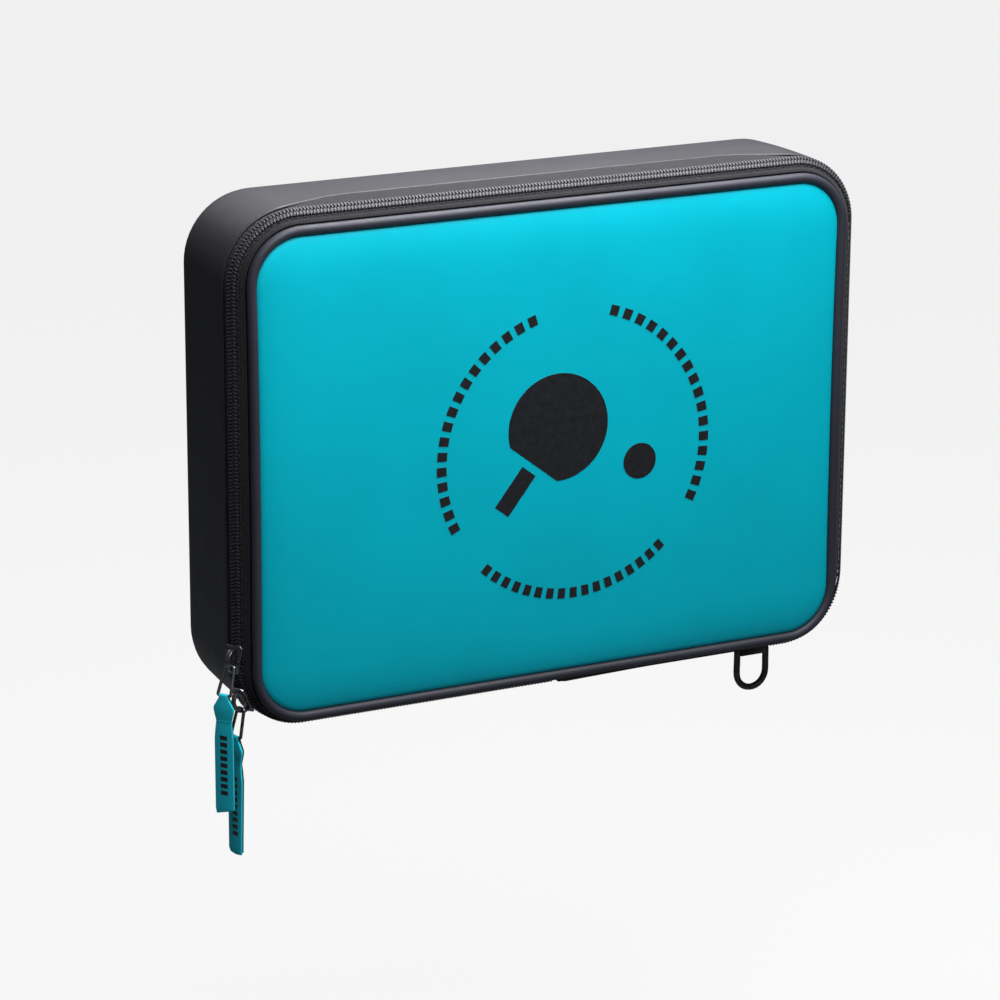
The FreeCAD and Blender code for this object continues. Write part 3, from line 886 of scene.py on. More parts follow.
# ---- Lid ----
@dataclass
class Lid:
    """The thin padded half: coloured face, piping, printed film, lining and net pouch."""

    inset: float = 4.4           # the face's edge inside the piping
    edge_depth: float = 1.3      # the face's edge lies this far back
    crown: float = 0.9           # the middle stands this far in front of the node's face
    rise: float = 7.0            # how quickly the padding rises from its edge
    bead_radius: float = 2.15
    film: float = 0.14
    ring: float = 66.0
    stroke: float = 4.6
    dashes: int = 17
    dash_share: float = 0.6
    arcs: tuple[tuple[float, float], ...] = ((76.0, -28.0), (-46.0, -134.0), (-152.0, -254.0))
    emblem: tuple[float, float] = (8.0, -4.0)
    blade: float = 24.0
    ball: float = 8.0
    tilt: float = 38.0
    grip: tuple[float, float, float] = (5.2, 26.0, 2.4)   # half width, length, gap below the blade
    racket_at: tuple[float, float] = (-8.0, 12.0)
    ball_at: tuple[float, float] = (32.0, -8.0)

    def pad_depth(self, inward: float) -> float:
        """Depth of the padded face at a distance inward from its edge."""
        risen = 1 - math.exp(-max(0.0, inward) / self.rise)
        return self.edge_depth - (self.edge_depth + self.crown) * risen

    def face(self) -> None:
        """The padded face: its edge rolls back beside the piping and its middle is crowned."""
        edge = -self.inset
        rolled = [(3.3, edge), (2.2, edge), (1.6, edge - 0.15), (self.edge_depth, edge - 0.6)]
        inward = [1.4, 2.4, 3.6, 5.0, 7.0, 9.5, 12.5, 16.0, 20.0]
        profile = rolled + [(self.pad_depth(step), edge - step) for step in inward]
        bm = CASE.sweep(profile, closed=False, tucked=False, runs=12, turns=12)
        front = CASE.y(self.edge_depth)
        last = edge - inward[-1]
        rim = [e for e in bm.edges if e.is_boundary and all(v.co.y < front for v in e.verts)]
        shrink_rim(bm, rim, (0.86, 0.84, 0.8, 0.7, 0.5))
        half_x, half_z = CASE.half_width + last, CASE.half_height + last
        for vert in bm.verts:
            inside = min(half_x - abs(vert.co.x), half_z - abs(vert.co.z))
            if inside > MERGE:
                vert.co.y = CASE.y(self.pad_depth(inside + inward[-1]))
        bmesh.ops.holes_fill(bm, edges=bm.edges)
        CASE.draw_in(bm)
        piece = make_piece(bm, "lid_padded_face", TURQUOISE_FACE, "lid",
                           ["front_panel_skin", "front_panel_foam"])

    def piping(self) -> None:
        """The bead round the face: cord in coated fabric, with its sewn flange behind."""
        radius = self.bead_radius
        depth, flare = radius - 0.4, -radius
        mouth = 52.0                 # half the angle at which the fabric leaves the cord
        count = 18
        bead = []
        for index in range(count + 1):
            angle = math.radians(-mouth - index * (360 - 2 * mouth) / count)
            bead.append((depth - radius * math.cos(angle + math.pi), flare + radius * math.sin(angle)))
        flange = [(4.5, bead[-1][1]), (4.5, bead[0][1])]
        bm = CASE.sweep(bead + flange, tucked=False, runs=12, turns=14)
        CASE.draw_in(bm)
        make_piece(bm, "lid_piping", BLACK_BEAD, "lid", ["front_piping"], sharp=60)

    def film_shape(self, bm: BMesh) -> None:
        """Gives a flat printed shape the film's thickness, on the face's crown.

        Args:
            bm: The mesh.
        """
        flat = CASE.y(-self.crown - 0.005)
        for vert in bm.verts:
            vert.co.y = flat
        grown = bmesh.ops.extrude_face_region(bm, geom=list(bm.faces))["geom"]
        bmesh.ops.translate(bm, verts=verts_of(grown), vec=(0, -self.film, 0))

    def print(self) -> None:
        """A racket and a ball inside three arcs of short strokes."""
        bm = bmesh.new()
        for start, end in self.arcs:
            step = (end - start) / self.dashes
            for index in range(self.dashes):
                angle = math.radians(start + step * (index + 0.5 - self.dash_share / 2))
                dash = bmesh.new()
                ends = [dash.verts.new((r * math.cos(angle), 0, r * math.sin(angle)))
                        for r in (self.ring - self.stroke, self.ring)]
                edge = dash.edges.new(ends)
                bmesh.ops.spin(dash, geom=[*ends, edge], cent=(0, 0, 0), axis=(0, -1, 0),
                               angle=math.radians(step * self.dash_share), steps=4, use_duplicate=False)
                merge_into(bm, dash)
        racket = bmesh.new()
        bmesh.ops.create_circle(racket, segments=64, radius=self.blade, cap_ends=True)
        shoulder = -self.blade * 0.8
        bmesh.ops.bisect_plane(racket, geom=whole(racket), plane_co=(0, shoulder, 0), plane_no=(0, -1, 0),
                               clear_outer=True)
        half, length, gap = self.grip
        merge_into(racket, slab((-half, shoulder - length, 0), (half, shoulder - gap, 1), 1.2, 3))
        raised = [f for f in racket.faces if f.calc_center_median().z > MERGE]
        bmesh.ops.delete(racket, geom=raised, context="FACES")
        bmesh.ops.rotate(racket, verts=racket.verts, matrix=Matrix.Rotation(-math.radians(self.tilt), 3, "Z"))
        bmesh.ops.translate(racket, verts=racket.verts, vec=(*self.racket_at, 0))
        ball = bmesh.new()
        bmesh.ops.create_circle(ball, segments=40, radius=self.ball, cap_ends=True)
        bmesh.ops.translate(ball, verts=ball.verts, vec=(*self.ball_at, 0))
        merge_into(racket, ball)
        bmesh.ops.rotate(racket, verts=racket.verts, matrix=Matrix.Rotation(math.pi / 2, 3, "X"))
        merge_into(bm, racket)
        bmesh.ops.translate(bm, verts=bm.verts, vec=(self.emblem[0], 0, self.emblem[1]))
        self.film_shape(bm)
        make_piece(bm, "lid_print", FILM, "lid", ["front_print"])

    def lining(self) -> None:
        """Brushed cloth glued over the board, with a turned edge."""
        profile = [(4.7, -1.1), (5.1, -1.0), (5.45, -1.6), (5.5, -4.0), (5.5, -12.0), (5.5, -22.0)]
        bm = CASE.sweep(profile, closed=False)
        bmesh.ops.holes_fill(bm, edges=bm.edges)
        piece = make_piece(bm, "lid_lining_cloth", LINING, "lid", ["lid_lining"])

    def binding(self) -> None:
        """Grosgrain over the seam between lining and zip tape."""
        profile = [(4.75, 1.2), (5.9, 1.2), (6.2, 0.8), (6.25, -0.2), (6.2, -2.6), (5.9, -3.0), (5.6, -3.0)]
        bm = CASE.sweep(profile)
        make_piece(bm, "lid_edge_binding", BINDING, "lid", ["lid_seam_binding"], Unwrap.OUTLINE)

    def build(self) -> None:
        """Builds and dresses the lid's pieces."""
        self.face()
        self.piping()
        self.print()
        self.lining()
        self.binding()
        dress_node("lid_stiffener", BOARD)


@dataclass
class NetPouch:
    """Elastic-topped net pouch sewn inside the lid along its sides and bottom."""

    cell: float = 4.2
    yarn: float = 0.55
    lining_depth: float = 5.6
    bulge: float = 5.4
    hem: float = 9.0

    def __post_init__(self) -> None:
        """Reads where the pouch goes from its node."""
        self.low, self.high = mm_box("mesh_pocket")

    def bulge_at(self, x: float, z: float) -> float:
        """How far the net stands off the lining: nothing at the sewn edges, most at the mouth.

        Args:
            x: Place across the pouch.
            z: Height on the pouch.

        Returns:
            The distance in millimetres.
        """
        half = self.high.x
        side = max(0.0, 1 - abs(x / half) ** 3)
        up = (z - self.low.z) / (self.high.z - self.low.z)
        slack = 0.06 * math.sin(x * 0.11) * math.sin(z * 0.07)
        return self.bulge * (side * min(1.0, up * 2.4) ** 0.6 + slack * side)

    def net(self) -> None:
        """The net, a diamond mesh of yarn."""
        width = self.high.x - self.low.x
        height = self.high.z - self.low.z
        reach = (width + height) * 0.75
        count = int(reach / self.cell)
        bm = bmesh.new()
        bmesh.ops.create_grid(bm, x_segments=count, y_segments=count, size=reach / 2)
        bmesh.ops.rotate(bm, verts=bm.verts, matrix=Matrix.Rotation(math.pi / 4, 3, "Z"))
        bmesh.ops.scale(bm, vec=(1.15, 0.9, 1), verts=bm.verts)
        for normal, reach_to in (((1, 0, 0), width / 2), ((-1, 0, 0), width / 2), ((0, 1, 0), height / 2),
                                 ((0, -1, 0), height / 2)):
            bmesh.ops.bisect_plane(bm, geom=whole(bm), plane_co=Vector(normal) * reach_to, plane_no=normal,
                                   clear_outer=True)
        bmesh.ops.rotate(bm, verts=bm.verts, matrix=Matrix.Rotation(math.pi / 2, 3, "X"))
        middle = (self.low.z + self.high.z) / 2
        bmesh.ops.translate(bm, verts=bm.verts, vec=(0, 0, middle))
        for vert in bm.verts:
            vert.co.y = CASE.y(self.lining_depth + self.yarn / 2 + self.bulge_at(vert.co.x, vert.co.z))
        piece = make_piece(bm, "lid_net_pouch", NET, "lid", ["mesh_pocket"], recalc=False)
        frame_of = piece.modifiers.new("yarn", "WIREFRAME")
        frame_of.thickness = self.yarn * MM
        frame_of.use_even_offset = False

    def band(self, points: Sequence[tuple[float, float]], name: str, finish: Finish, width: float,
             replaces: Sequence[str]) -> None:
        """A tape along a line of (x, z) points on the net, its width upright or inward.

        Args:
            points: The points of the line, as (x, z).
            name: The piece's name.
            finish: The finish.
            width: The tape's width.
            replaces: CAD nodes that it stands for.
        """
        bm = bmesh.new()
        rows = []
        for index, (x, z) in enumerate(points):
            before = Vector(points[max(0, index - 1)])
            after = Vector(points[min(len(points) - 1, index + 1)])
            along = (after - before).normalized()
            side = Vector((-along.y, along.x)) * width / 2
            row = []
            for sign in (-1, 1):
                px, pz = x + side.x * sign, z + side.y * sign
                row.append(bm.verts.new((px, CASE.y(self.lining_depth + 0.7 + self.bulge_at(px, pz)), pz)))
            rows.append(row)
        for first, second in zip(rows, rows[1:]):
            bm.faces.new((first[0], first[1], second[1], second[0]))
        piece = make_piece(bm, name, finish, "lid", replaces, Unwrap.BOX)
        solidify(piece, 0.9, 0.0)

    def build(self) -> None:
        """Builds the hem, the sewn edge and the net."""
        half = self.high.x - 2.5
        steps = 40
        top = self.high.z - self.hem / 2
        hem = [(-half + 2 * half * i / steps, top) for i in range(steps + 1)]
        self.band(hem, "pouch_hem", ELASTIC, self.hem, ["pocket_binding"])
        bottom = self.low.z + 3.5
        bend = 8.0
        edge = [(-half, top - i * (top - bottom - bend) / 16) for i in range(17)]
        edge += [(-half + bend - bend * math.cos(a), bottom + bend - bend * math.sin(a))
                 for a in (math.pi / 8 * k for k in range(1, 5))]
        edge += [(-half + bend + (half - bend) * i / 14, bottom) for i in range(1, 15)]
        edge += [(-x, z) for x, z in reversed(edge[:-1])]
        self.band(edge, "pouch_edge_tape", BINDING, 6.0, [])
        self.net()


def top_share(point: Vector) -> float:
    """1 along the top side, easing to 0 as the top turns into its corners.

    Args:
        point: A point on the wall.

    Returns:
        The share.
    """
    inward = (CASE.half_width - CASE.corner + TOP_START - abs(point.x)) / TOP_EASE
    rise = (point.z - CASE.half_height + CASE.corner) / CASE.corner
    share = min(1.0, max(0.0, inward)) * min(1.0, max(0.0, (rise - RISE_START) / RISE_EASE))
    return share * share * (3 - 2 * share)


def stretch_back(bm: BMesh, by: float, front: float, back: float) -> None:
    """Lets the top side's tape run further back, its end most, and lifts it clear of the foam.

    Args:
        bm: The mesh.
        by: How far the tape's end moves.
        front: Depth from which the tape is stretched.
        back: Depth of its end.
    """
    for vert in bm.verts:
        depth = vert.co.y + CASE.depth
        pull = max(0.0, (depth - front) / (back - front)) * top_share(vert.co)
        vert.co.y += by * pull
        vert.co.z += TAPE_LIFT * min(1.0, 2 * pull)


def push_back(bm: BMesh, by: float, front: float, back: float) -> None:
    """Moves the top side's wall back, most at its front depth and not at all at its back depth.

    Args:
        bm: The mesh.
        by: How far the wall's front moves.
        front: Depth at which the whole move applies.
        back: Depth at which it has faded out.
    """
    for vert in bm.verts:
        depth = vert.co.y + CASE.depth
        fade = min(1.0, max(0.0, (back - depth) / (back - front)))
        vert.co.y += by * fade * top_share(vert.co)


# ---- Zip ----
class Row(Enum):
    """The two rows of the zip and the body that each rides on."""

    LID = "lid"
    REAR = "rear_case"


@dataclass
class Zip:
    """Tapes, coils, end stops and the fabric hinge that closes the gap in the zip."""

    pitch: float = 1.55          # coarser than a real coil's 1.3 so that each turn shows
    monofilament: float = 0.34   # radius
    lid_row: tuple[float, float] = (-2.6, 0.35)
    rear_row: tuple[float, float] = (-0.35, 2.45)
    height: float = 1.5
    slant: float = 0.5
    tape_wall: float = 0.8
    tape_reach: float = 12.5     # on top the rear tape runs on this much further, under the lip
    axis_drop: float = 0.2       # the hinge line lies this far below the fabric hinge
    cord: float = 0.42           # radius of the filler cord inside the turns
    hinge_taper: float = 46.0    # the fabric hinge grows thinner over this length
    hinge_thinning: float = 0.62   # and loses this share of its thickness

    def __post_init__(self) -> None:
        """Reads where the hinge strip interrupts the zip."""
        self.strip_low, self.strip_high = mm_box("hinge_strip_lid")

    def tape(self, row: Row) -> None:
        """One side's woven tape, leaning out from the piping or running in under the shell.

        Args:
            row: Which half of the zip.
        """
        wall = self.tape_wall
        if row is Row.LID:
            depths = [2.7, 3.2, 4.4, 5.6, 6.5]
            trim, nodes, name = 0.45, ["lid_zip_tape"], "lid_woven_tape"
        else:
            depths = [7.5, 8.3, 9.4, 11.0, 12.6, 13.9]
            trim, nodes, name = 0.0, ["rear_zip_tape"], "rear_woven_tape"
        outer = [(depth, CASE.tape_flare(depth)) for depth in depths]
        outer[0] = (outer[0][0], outer[0][1] - trim)
        inner = [(depth, flare - wall) for depth, flare in reversed(outer[1:])]
        inner.append((outer[0][0] + 0.25, outer[0][1] - wall + 0.3))
        bm = CASE.sweep(outer + inner, turns=12)
        if row is Row.LID:
            CASE.draw_in(bm)
        else:
            stretch_back(bm, self.tape_reach, 9.4, depths[-1])
        make_piece(bm, name, ZIP_TAPE, row.value, nodes, Unwrap.OUTLINE)

    def turn(self, span: tuple[float, float], slant: float) -> BMesh:
        """One turn of the coil, in (along, across, out) axes.

        Args:
            span: Where the turn starts and ends across the tape.
            slant: How far the turn leans along the zip.

        Returns:
            The turn's mesh.
        """
        radius = self.monofilament
        half_across = (span[1] - span[0]) / 2 - radius
        half_out = self.height / 2 - radius
        bm = bmesh.new()
        ring = bmesh.ops.create_circle(bm, segments=5, radius=radius)["verts"]
        bmesh.ops.rotate(bm, verts=ring, matrix=Matrix.Rotation(math.pi / 2, 3, "X"))
        bmesh.ops.translate(bm, verts=ring, vec=(0, half_out, 0))
        bmesh.ops.spin(bm, geom=bm.verts[:] + bm.edges[:], cent=(0, 0, 0), axis=(1, 0, 0), angle=2 * math.pi,
                       steps=8, use_merge=True, use_duplicate=False)
        for vert in bm.verts:
            if vert.co.y > 0:
                vert.co.y += half_across - half_out
            elif vert.co.y < 0:
                vert.co.y -= half_across - half_out
            vert.co.x += slant * vert.co.y / (2 * half_across)
        middle = (span[0] + span[1]) / 2
        bmesh.ops.translate(bm, verts=bm.verts, vec=(0, middle, self.height / 2))
        return bm

    def places(self, pitch: float, clear: float, shift: float = 0.0, across_by: float = 0.0,
               height: float = 0.0) -> list[Matrix]:
        """Steps along the closed zip, leaving out the fabric hinge.

        Args:
            pitch: Distance between two steps.
            clear: How far from the fabric hinge the last step stays.
            shift: How far every step is moved along the zip.
            across_by: How far towards the rear half the places lie.
            height: How far out of the tape they lie.

        Returns:
            A matrix for each step, in (along, across, out) axes.
        """
        found = []
        for point, along, out in CASE.walk(pitch, CASE.zip_depth):
            at = point + along * shift
            below = out.z < -0.99
            if below and self.strip_low.x - clear < at.x < self.strip_high.x + clear:
                continue
            across = CASE.across(out)
            normal = along.cross(across)
            if normal.dot(out) < 0:
                normal = -normal
            found.append(axes(along, across, normal, at + across * across_by + normal * height))
        return found

    def coil(self, row: Row) -> None:
        """One row of turns, left out along the fabric hinge.

        Args:
            row: Which half of the zip.
        """
        lid = row is Row.LID
        span = self.lid_row if lid else self.rear_row
        slant = self.slant if lid else -self.slant
        places = self.places(self.pitch, 1.5, shift=0.0 if lid else self.pitch / 2)
        bm = place_copies(self.turn(span, slant), places)
        name = "lid_coil_turns" if lid else "rear_coil_turns"
        make_piece(bm, name, COIL_NYLON, row.value, ["lid_zip_coil" if lid else "rear_zip_coil"], sharp=180)

    def coil_cord(self, row: Row) -> None:
        """The filler cord that runs inside the turns, left out along the fabric hinge.

        Args:
            row: Which half of the zip.
        """
        lid = row is Row.LID
        span = self.lid_row if lid else self.rear_row
        middle = CASE.zip_depth + (span[0] + span[1]) / 2
        profile = []
        for index in range(8):
            turn = index * math.pi / 4
            depth = middle + 1.6 * self.cord * math.cos(turn)
            profile.append((depth, CASE.tape_flare(depth) + self.height / 2 + self.cord * math.sin(turn)))
        bm = CASE.sweep(profile, turns=12, runs=40)
        left, right = self.strip_low.x - 2, self.strip_high.x + 2
        bare = [f for f in bm.faces
                if left < f.calc_center_median().x < right and f.calc_center_median().z < 0]
        bmesh.ops.delete(bm, geom=bare, context="FACES")
        bmesh.ops.holes_fill(bm, edges=bm.edges)
        make_piece(bm, "lid_coil_cord" if lid else "rear_coil_cord", THREAD, row.value)

    def coil_thread(self, row: Row) -> None:
        """The row of lock stitches beside the coil, which holds it to its tape.

        Args:
            row: Which half of the zip.
        """
        across_by, height = (-2.9, 0.12) if row is Row.LID else (2.65, -0.36)
        pitch = 2 * self.pitch
        bm = place_copies(stitch(pitch * 0.8, 0.36), self.places(pitch, 3.0, 0.0, across_by, height))
        name = "lid_coil_thread" if row is Row.LID else "rear_coil_thread"
        make_piece(bm, name, THREAD, row.value, sharp=180)

    def hinge(self) -> None:
        """The fabric hinge: one padded strip across both halves, thickest at its left end."""
        low, high = self.strip_low, self.strip_high
        back = mm_box("hinge_strip_rear")[1].y
        bm = slab((low.x, low.y, low.z), (high.x, back, high.z), 0.0)
        cut_along(bm, 0, 23)
        cut_along(bm, 1, 9)
        top = high.z
        for vert in bm.verts:
            if vert.co.z < top - MERGE:
                share = min(1.0, (vert.co.x - low.x) / self.hinge_taper)
                end = min(1.0, (vert.co.x - low.x) / 2.5, (high.x - vert.co.x) / 2.5)
                rim = min(1.0, (vert.co.y - low.y) / 1.5, (back - vert.co.y) / 1.5)
                plump = 0.45 + 0.55 * math.sqrt(max(0.0, min(end, rim)))
                vert.co.z = top - (top - low.z) * (1 - self.hinge_thinning * share) * plump
        piece = make_piece(bm, "fabric_hinge", BLACK_BEAD, None,
                           ["hinge_strip_lid", "hinge_strip_rear"], sharp=50)
        line = CASE.y(CASE.zip_depth)
        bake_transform(piece)

    def build(self) -> None:
        """Builds both halves of the zip and the hinge."""
        for row in Row:
            self.tape(row)
            self.coil(row)
            self.coil_cord(row)
            self.coil_thread(row)
        self.hinge()
        dress_node("zip_stops", GUNMETAL)


# ---- Sliders ----
@dataclass
class PullSet:
    """A slider with its wire link and folded ribbon, at one place on the closed zip."""

    number: int
    angle: float                 # degrees below horizontal, round the lower left corner
    z: float
    lean: float
    length: float = 13.0
    plate: tuple[float, float] = (1.9, 2.9)
    crown_half: float = 5.2
    crown_top: float = 8.4
    seat_at: tuple[float, float] = (-2.0, 5.6)   # along and out, where the link hangs in the crown
    crown_width: float = 2.3
    link_length: float = 12.8
    link_wire: float = 0.72
    ribbon_length: float = 53.0
    ribbon_half: float = 4.5
    sewn_at: float = 11.2        # the row of stitches lies this far below the eye
    slanted: bool = True

    def __post_init__(self) -> None:
        """Works out the slider's own directions from the zip's outline."""
        turn = math.radians(self.angle)
        self.out = Vector((-math.cos(turn), 0, -math.sin(turn)))
        self.along = Vector((-math.sin(turn), 0, math.cos(turn)))
        middle = Vector((-(CASE.half_width - CASE.corner), CASE.y(CASE.zip_depth), self.z))
        self.centre = middle + self.out * (CASE.corner + CASE.tape_flare(CASE.zip_depth))
        self.across = (self.out * CASE.slope * (1 - math.sin(turn)) + Vector((0, 1, 0))).normalized()
        self.normal = self.along.cross(self.across)
        if self.normal.dot(self.out) < 0:
            self.normal = -self.normal
        self.seat = self.at(self.seat_at[0], 0, self.seat_at[1])
        self.axis = Vector((self.across.x, self.across.y, 0)).normalized()
        self.facing = Vector((0, 0, 1)).cross(self.axis)
        tip = math.radians(self.lean)
        hang = Vector((0, 0, -math.cos(tip))) + self.facing * math.sin(tip)
        self.eye = self.seat + hang * self.link_length

    def at(self, along: float, across: float, normal: float) -> Vector:
        """A point given along, across and out from the slider's middle."""
        return self.centre + self.along * along + self.across * across + self.normal * normal

    def matrix(self) -> Matrix:
        """The slider's own axes in the case."""
        return axes(self.along, self.across, self.normal, self.centre)

    def casting(self) -> None:
        """Outer plate with its shoulders, arched crown, the post between the rows and the inner plate."""
        low, high = self.plate
        half = self.length / 2
        bm = bmesh.new()
        right = [(-half, 2.3), (-half + 1.2, 2.8), (-0.5, 3.0), (2.2, 4.1), (half - 1.2, 4.3), (half, 3.2)]
        points = [bm.verts.new((a, b, low)) for a, b in right + [(a, -b) for a, b in reversed(right)]]
        face = bm.faces.new(points)
        grown = bmesh.ops.extrude_face_region(bm, geom=[face])["geom"]
        bmesh.ops.translate(bm, verts=verts_of(grown), vec=(0, 0, high - low))
        bmesh.ops.bevel(bm, geom=list(bm.edges), offset=0.28, segments=2, profile=0.5, affect="EDGES",
                        material=-1)
        rise = self.crown_top - high
        radius = (self.crown_half ** 2 + rise ** 2) / (2 * rise)
        centre = self.crown_top - radius
        start = math.atan2(high - centre, -self.crown_half)
        arch = slab((-0.55, -self.crown_width / 2, 0), (0.55, self.crown_width / 2, 0.1), 0.0)
        spare = [f for f in arch.faces if abs(f.normal.z) < 0.5 or f.normal.z > 0]
        bmesh.ops.delete(arch, geom=spare, context="FACES")
        bmesh.ops.bevel(arch, geom=list(arch.verts), offset=0.3, segments=2, profile=0.5, affect="VERTICES",
                        material=-1)
        foot = arch.verts[:]
        bmesh.ops.rotate(arch, verts=foot,
                         matrix=Matrix.Rotation(math.pi / 2 - (start - math.pi / 2), 3, "Y"))
        bmesh.ops.translate(arch, verts=foot, vec=(math.cos(start) * (radius - 0.55), 0,
                                                   centre + math.sin(start) * (radius - 0.55)))
        bmesh.ops.spin(arch, geom=whole(arch), cent=(0, 0, centre), axis=(0, 1, 0),
                       angle=2 * (start - math.pi / 2), steps=16, use_duplicate=False)
        merge_into(bm, arch)
        merge_into(bm, slab((2.6, -0.3, -2.4), (5.2, 0.3, low + 0.2), 0.12, 1))
        merge_into(bm, slab((-5, -1.4, -2.8), (5, 1.8, -2.0), 0.25, 2))
        merge_into(bm, slab((-2.4, self.crown_width / 2 - 0.3, high - 0.3), (2.0, 2.2, high + 0.5), 0.25, 2))
        bmesh.ops.transform(bm, matrix=self.matrix(), verts=bm.verts)
        make_piece(bm, f"slider_{self.number}_casting", GUNMETAL, f"slider_{self.number}",
                   [f"slider_{self.number}_body"], sharp=35)

    def link(self) -> None:
        """Bent wire link, wider at the end that holds the ribbon."""
        top, low = 2.2, 3.1
        corners = []
        for end, half, inward in ((self.seat, top, self.eye), (self.eye, low, self.seat)):
            toward = (inward - end).normalized() * 1.4
            signs = (-1, 1) if end is self.seat else (1, -1)
            for order, sign in enumerate(signs):
                corner = end + self.axis * half * sign
                bend = corner + toward
                corners += [bend, corner] if order == 0 else [corner, bend]
        wire(f"pull_link_{self.number}_wire", corners, self.link_wire, GUNMETAL, f"pull_link_{self.number}",
             [f"slider_{self.number}_pull_link"])

    def outline(self, back: bool) -> list[tuple[float, float]]:
        """Half widths down one side of the ribbon as (across, drop), from the eye down.

        Args:
            back: Whether this is the back layer.

        Returns:
            The points.
        """
        half = self.ribbon_half
        trim = 0.35 if back else 0.0
        return [(2.0, 0.4), (2.3, -0.8), (half + 0.3 - trim, -5.0), (half + 0.3 - trim, -6.2),
                (half - 0.75 - trim, -self.sewn_at), (half - 0.5 - trim, -14.0), (half - trim, -19.0),
                (half - trim, -self.ribbon_length + 2.2)]

    def blade(self, back: bool) -> BMesh:
        """One layer of the folded ribbon, in (across, drop, facing) axes.

        Args:
            back: Whether this is the back layer.

        Returns:
            The layer's mesh.
        """
        side = self.outline(back)
        length = self.ribbon_length - (0.6 if back else 0.0)
        edge = side[-1][0]
        if self.slanted:
            tip = [(edge - 0.5, -length), (-edge + 0.8, -length + 1.9), (-edge, -length + 2.4)]
        else:
            tip = [(edge - 1.1, -length + 0.5), (0.0, -length), (-edge + 1.1, -length + 0.5)]
        bm = bmesh.new()
        points = side + tip + [(-a, d) for a, d in reversed(side[:-1])]
        low, high = (-1.0, -0.1) if back else (-0.02, 1.0)
        verts = [bm.verts.new((a, d, low)) for a, d in points]
        face = bm.faces.new(verts)
        grown = bmesh.ops.extrude_face_region(bm, geom=[face])["geom"]
        bmesh.ops.translate(bm, verts=verts_of(grown), vec=(0, 0, high - low))
        rims = [e for e in bm.edges if abs(e.verts[0].co.z - e.verts[1].co.z) < MERGE]
        bmesh.ops.bevel(bm, geom=rims, offset=0.25, segments=2, profile=0.5, affect="EDGES", material=-1)
        for drop in [-k * 2.0 for k in range(1, int(self.ribbon_length / 2))]:
            bmesh.ops.bisect_plane(bm, geom=whole(bm), plane_co=(0, drop, 0), plane_no=(0, 1, 0))
        for vert in bm.verts:
            pinch = math.exp(-((vert.co.y + self.sewn_at) / 2.0) ** 2) * 0.3
            vert.co.z *= 1 - pinch
        return bm

    def marks(self) -> BMesh:
        """A plain row of printed bars down the ribbon's face.

        Returns:
            The bars' mesh.
        """
        bm = bmesh.new()
        for index in range(9):
            drop = -17.5 - index * 3.1
            merge_into(bm, slab((-1.7, drop - 1.9, 0.96), (1.7, drop, 1.06)))
        return bm

    def ribbon(self) -> None:
        """Folded ribbon: coloured front, black back, a loop round the link and a row of stitches."""
        body = f"ribbon_{self.number}"
        place = axes(self.axis, Vector((0, 0, 1)), self.facing, self.eye)
        front = self.blade(back=False)
        loop = bmesh.new()
        strip = [loop.verts.new((a, 0, 1.0)) for a in (-2.0, 2.0)]
        edge = loop.edges.new(strip)
        bmesh.ops.spin(loop, geom=[*strip, edge], cent=(0, 0, 0), axis=(1, 0, 0), angle=math.pi, steps=8,
                       use_duplicate=False)
        if max(v.co.y for v in loop.verts) < 0.5:
            bmesh.ops.scale(loop, vec=(1, -1, 1), verts=loop.verts)
        bmesh.ops.recalc_face_normals(loop, faces=loop.faces)
        bmesh.ops.solidify(loop, geom=list(loop.faces), thickness=0.5)
        merge_into(front, loop)
        bmesh.ops.transform(front, matrix=place, verts=front.verts)
        piece = make_piece(front, f"{body}_front", RIBBON, body, [f"slider_{self.number}_ribbon"], sharp=40)
        back = self.blade(back=True)
        bmesh.ops.transform(back, matrix=place, verts=back.verts)
        make_piece(back, f"{body}_back", RIBBON_BACK, body, unwrap=Unwrap.BOX, sharp=40)
        bars = self.marks()
        bmesh.ops.transform(bars, matrix=place, verts=bars.verts)
        make_piece(bars, f"{body}_print", FILM, body)
        ends = [Vector((x, -self.sewn_at, 0.72)) for x in (-3.2, 3.2)]
        row = seam(ends[0], ends[1], Vector((0, 0, 1)), 1.6, 0.4)
        bmesh.ops.transform(row, matrix=place, verts=row.verts)
        make_piece(row, f"{body}_stitches", RIBBON, body, sharp=180)

    def build(self) -> None:
        """Builds the slider, its link and its ribbon."""
        self.casting()
        self.link()
        self.ribbon()


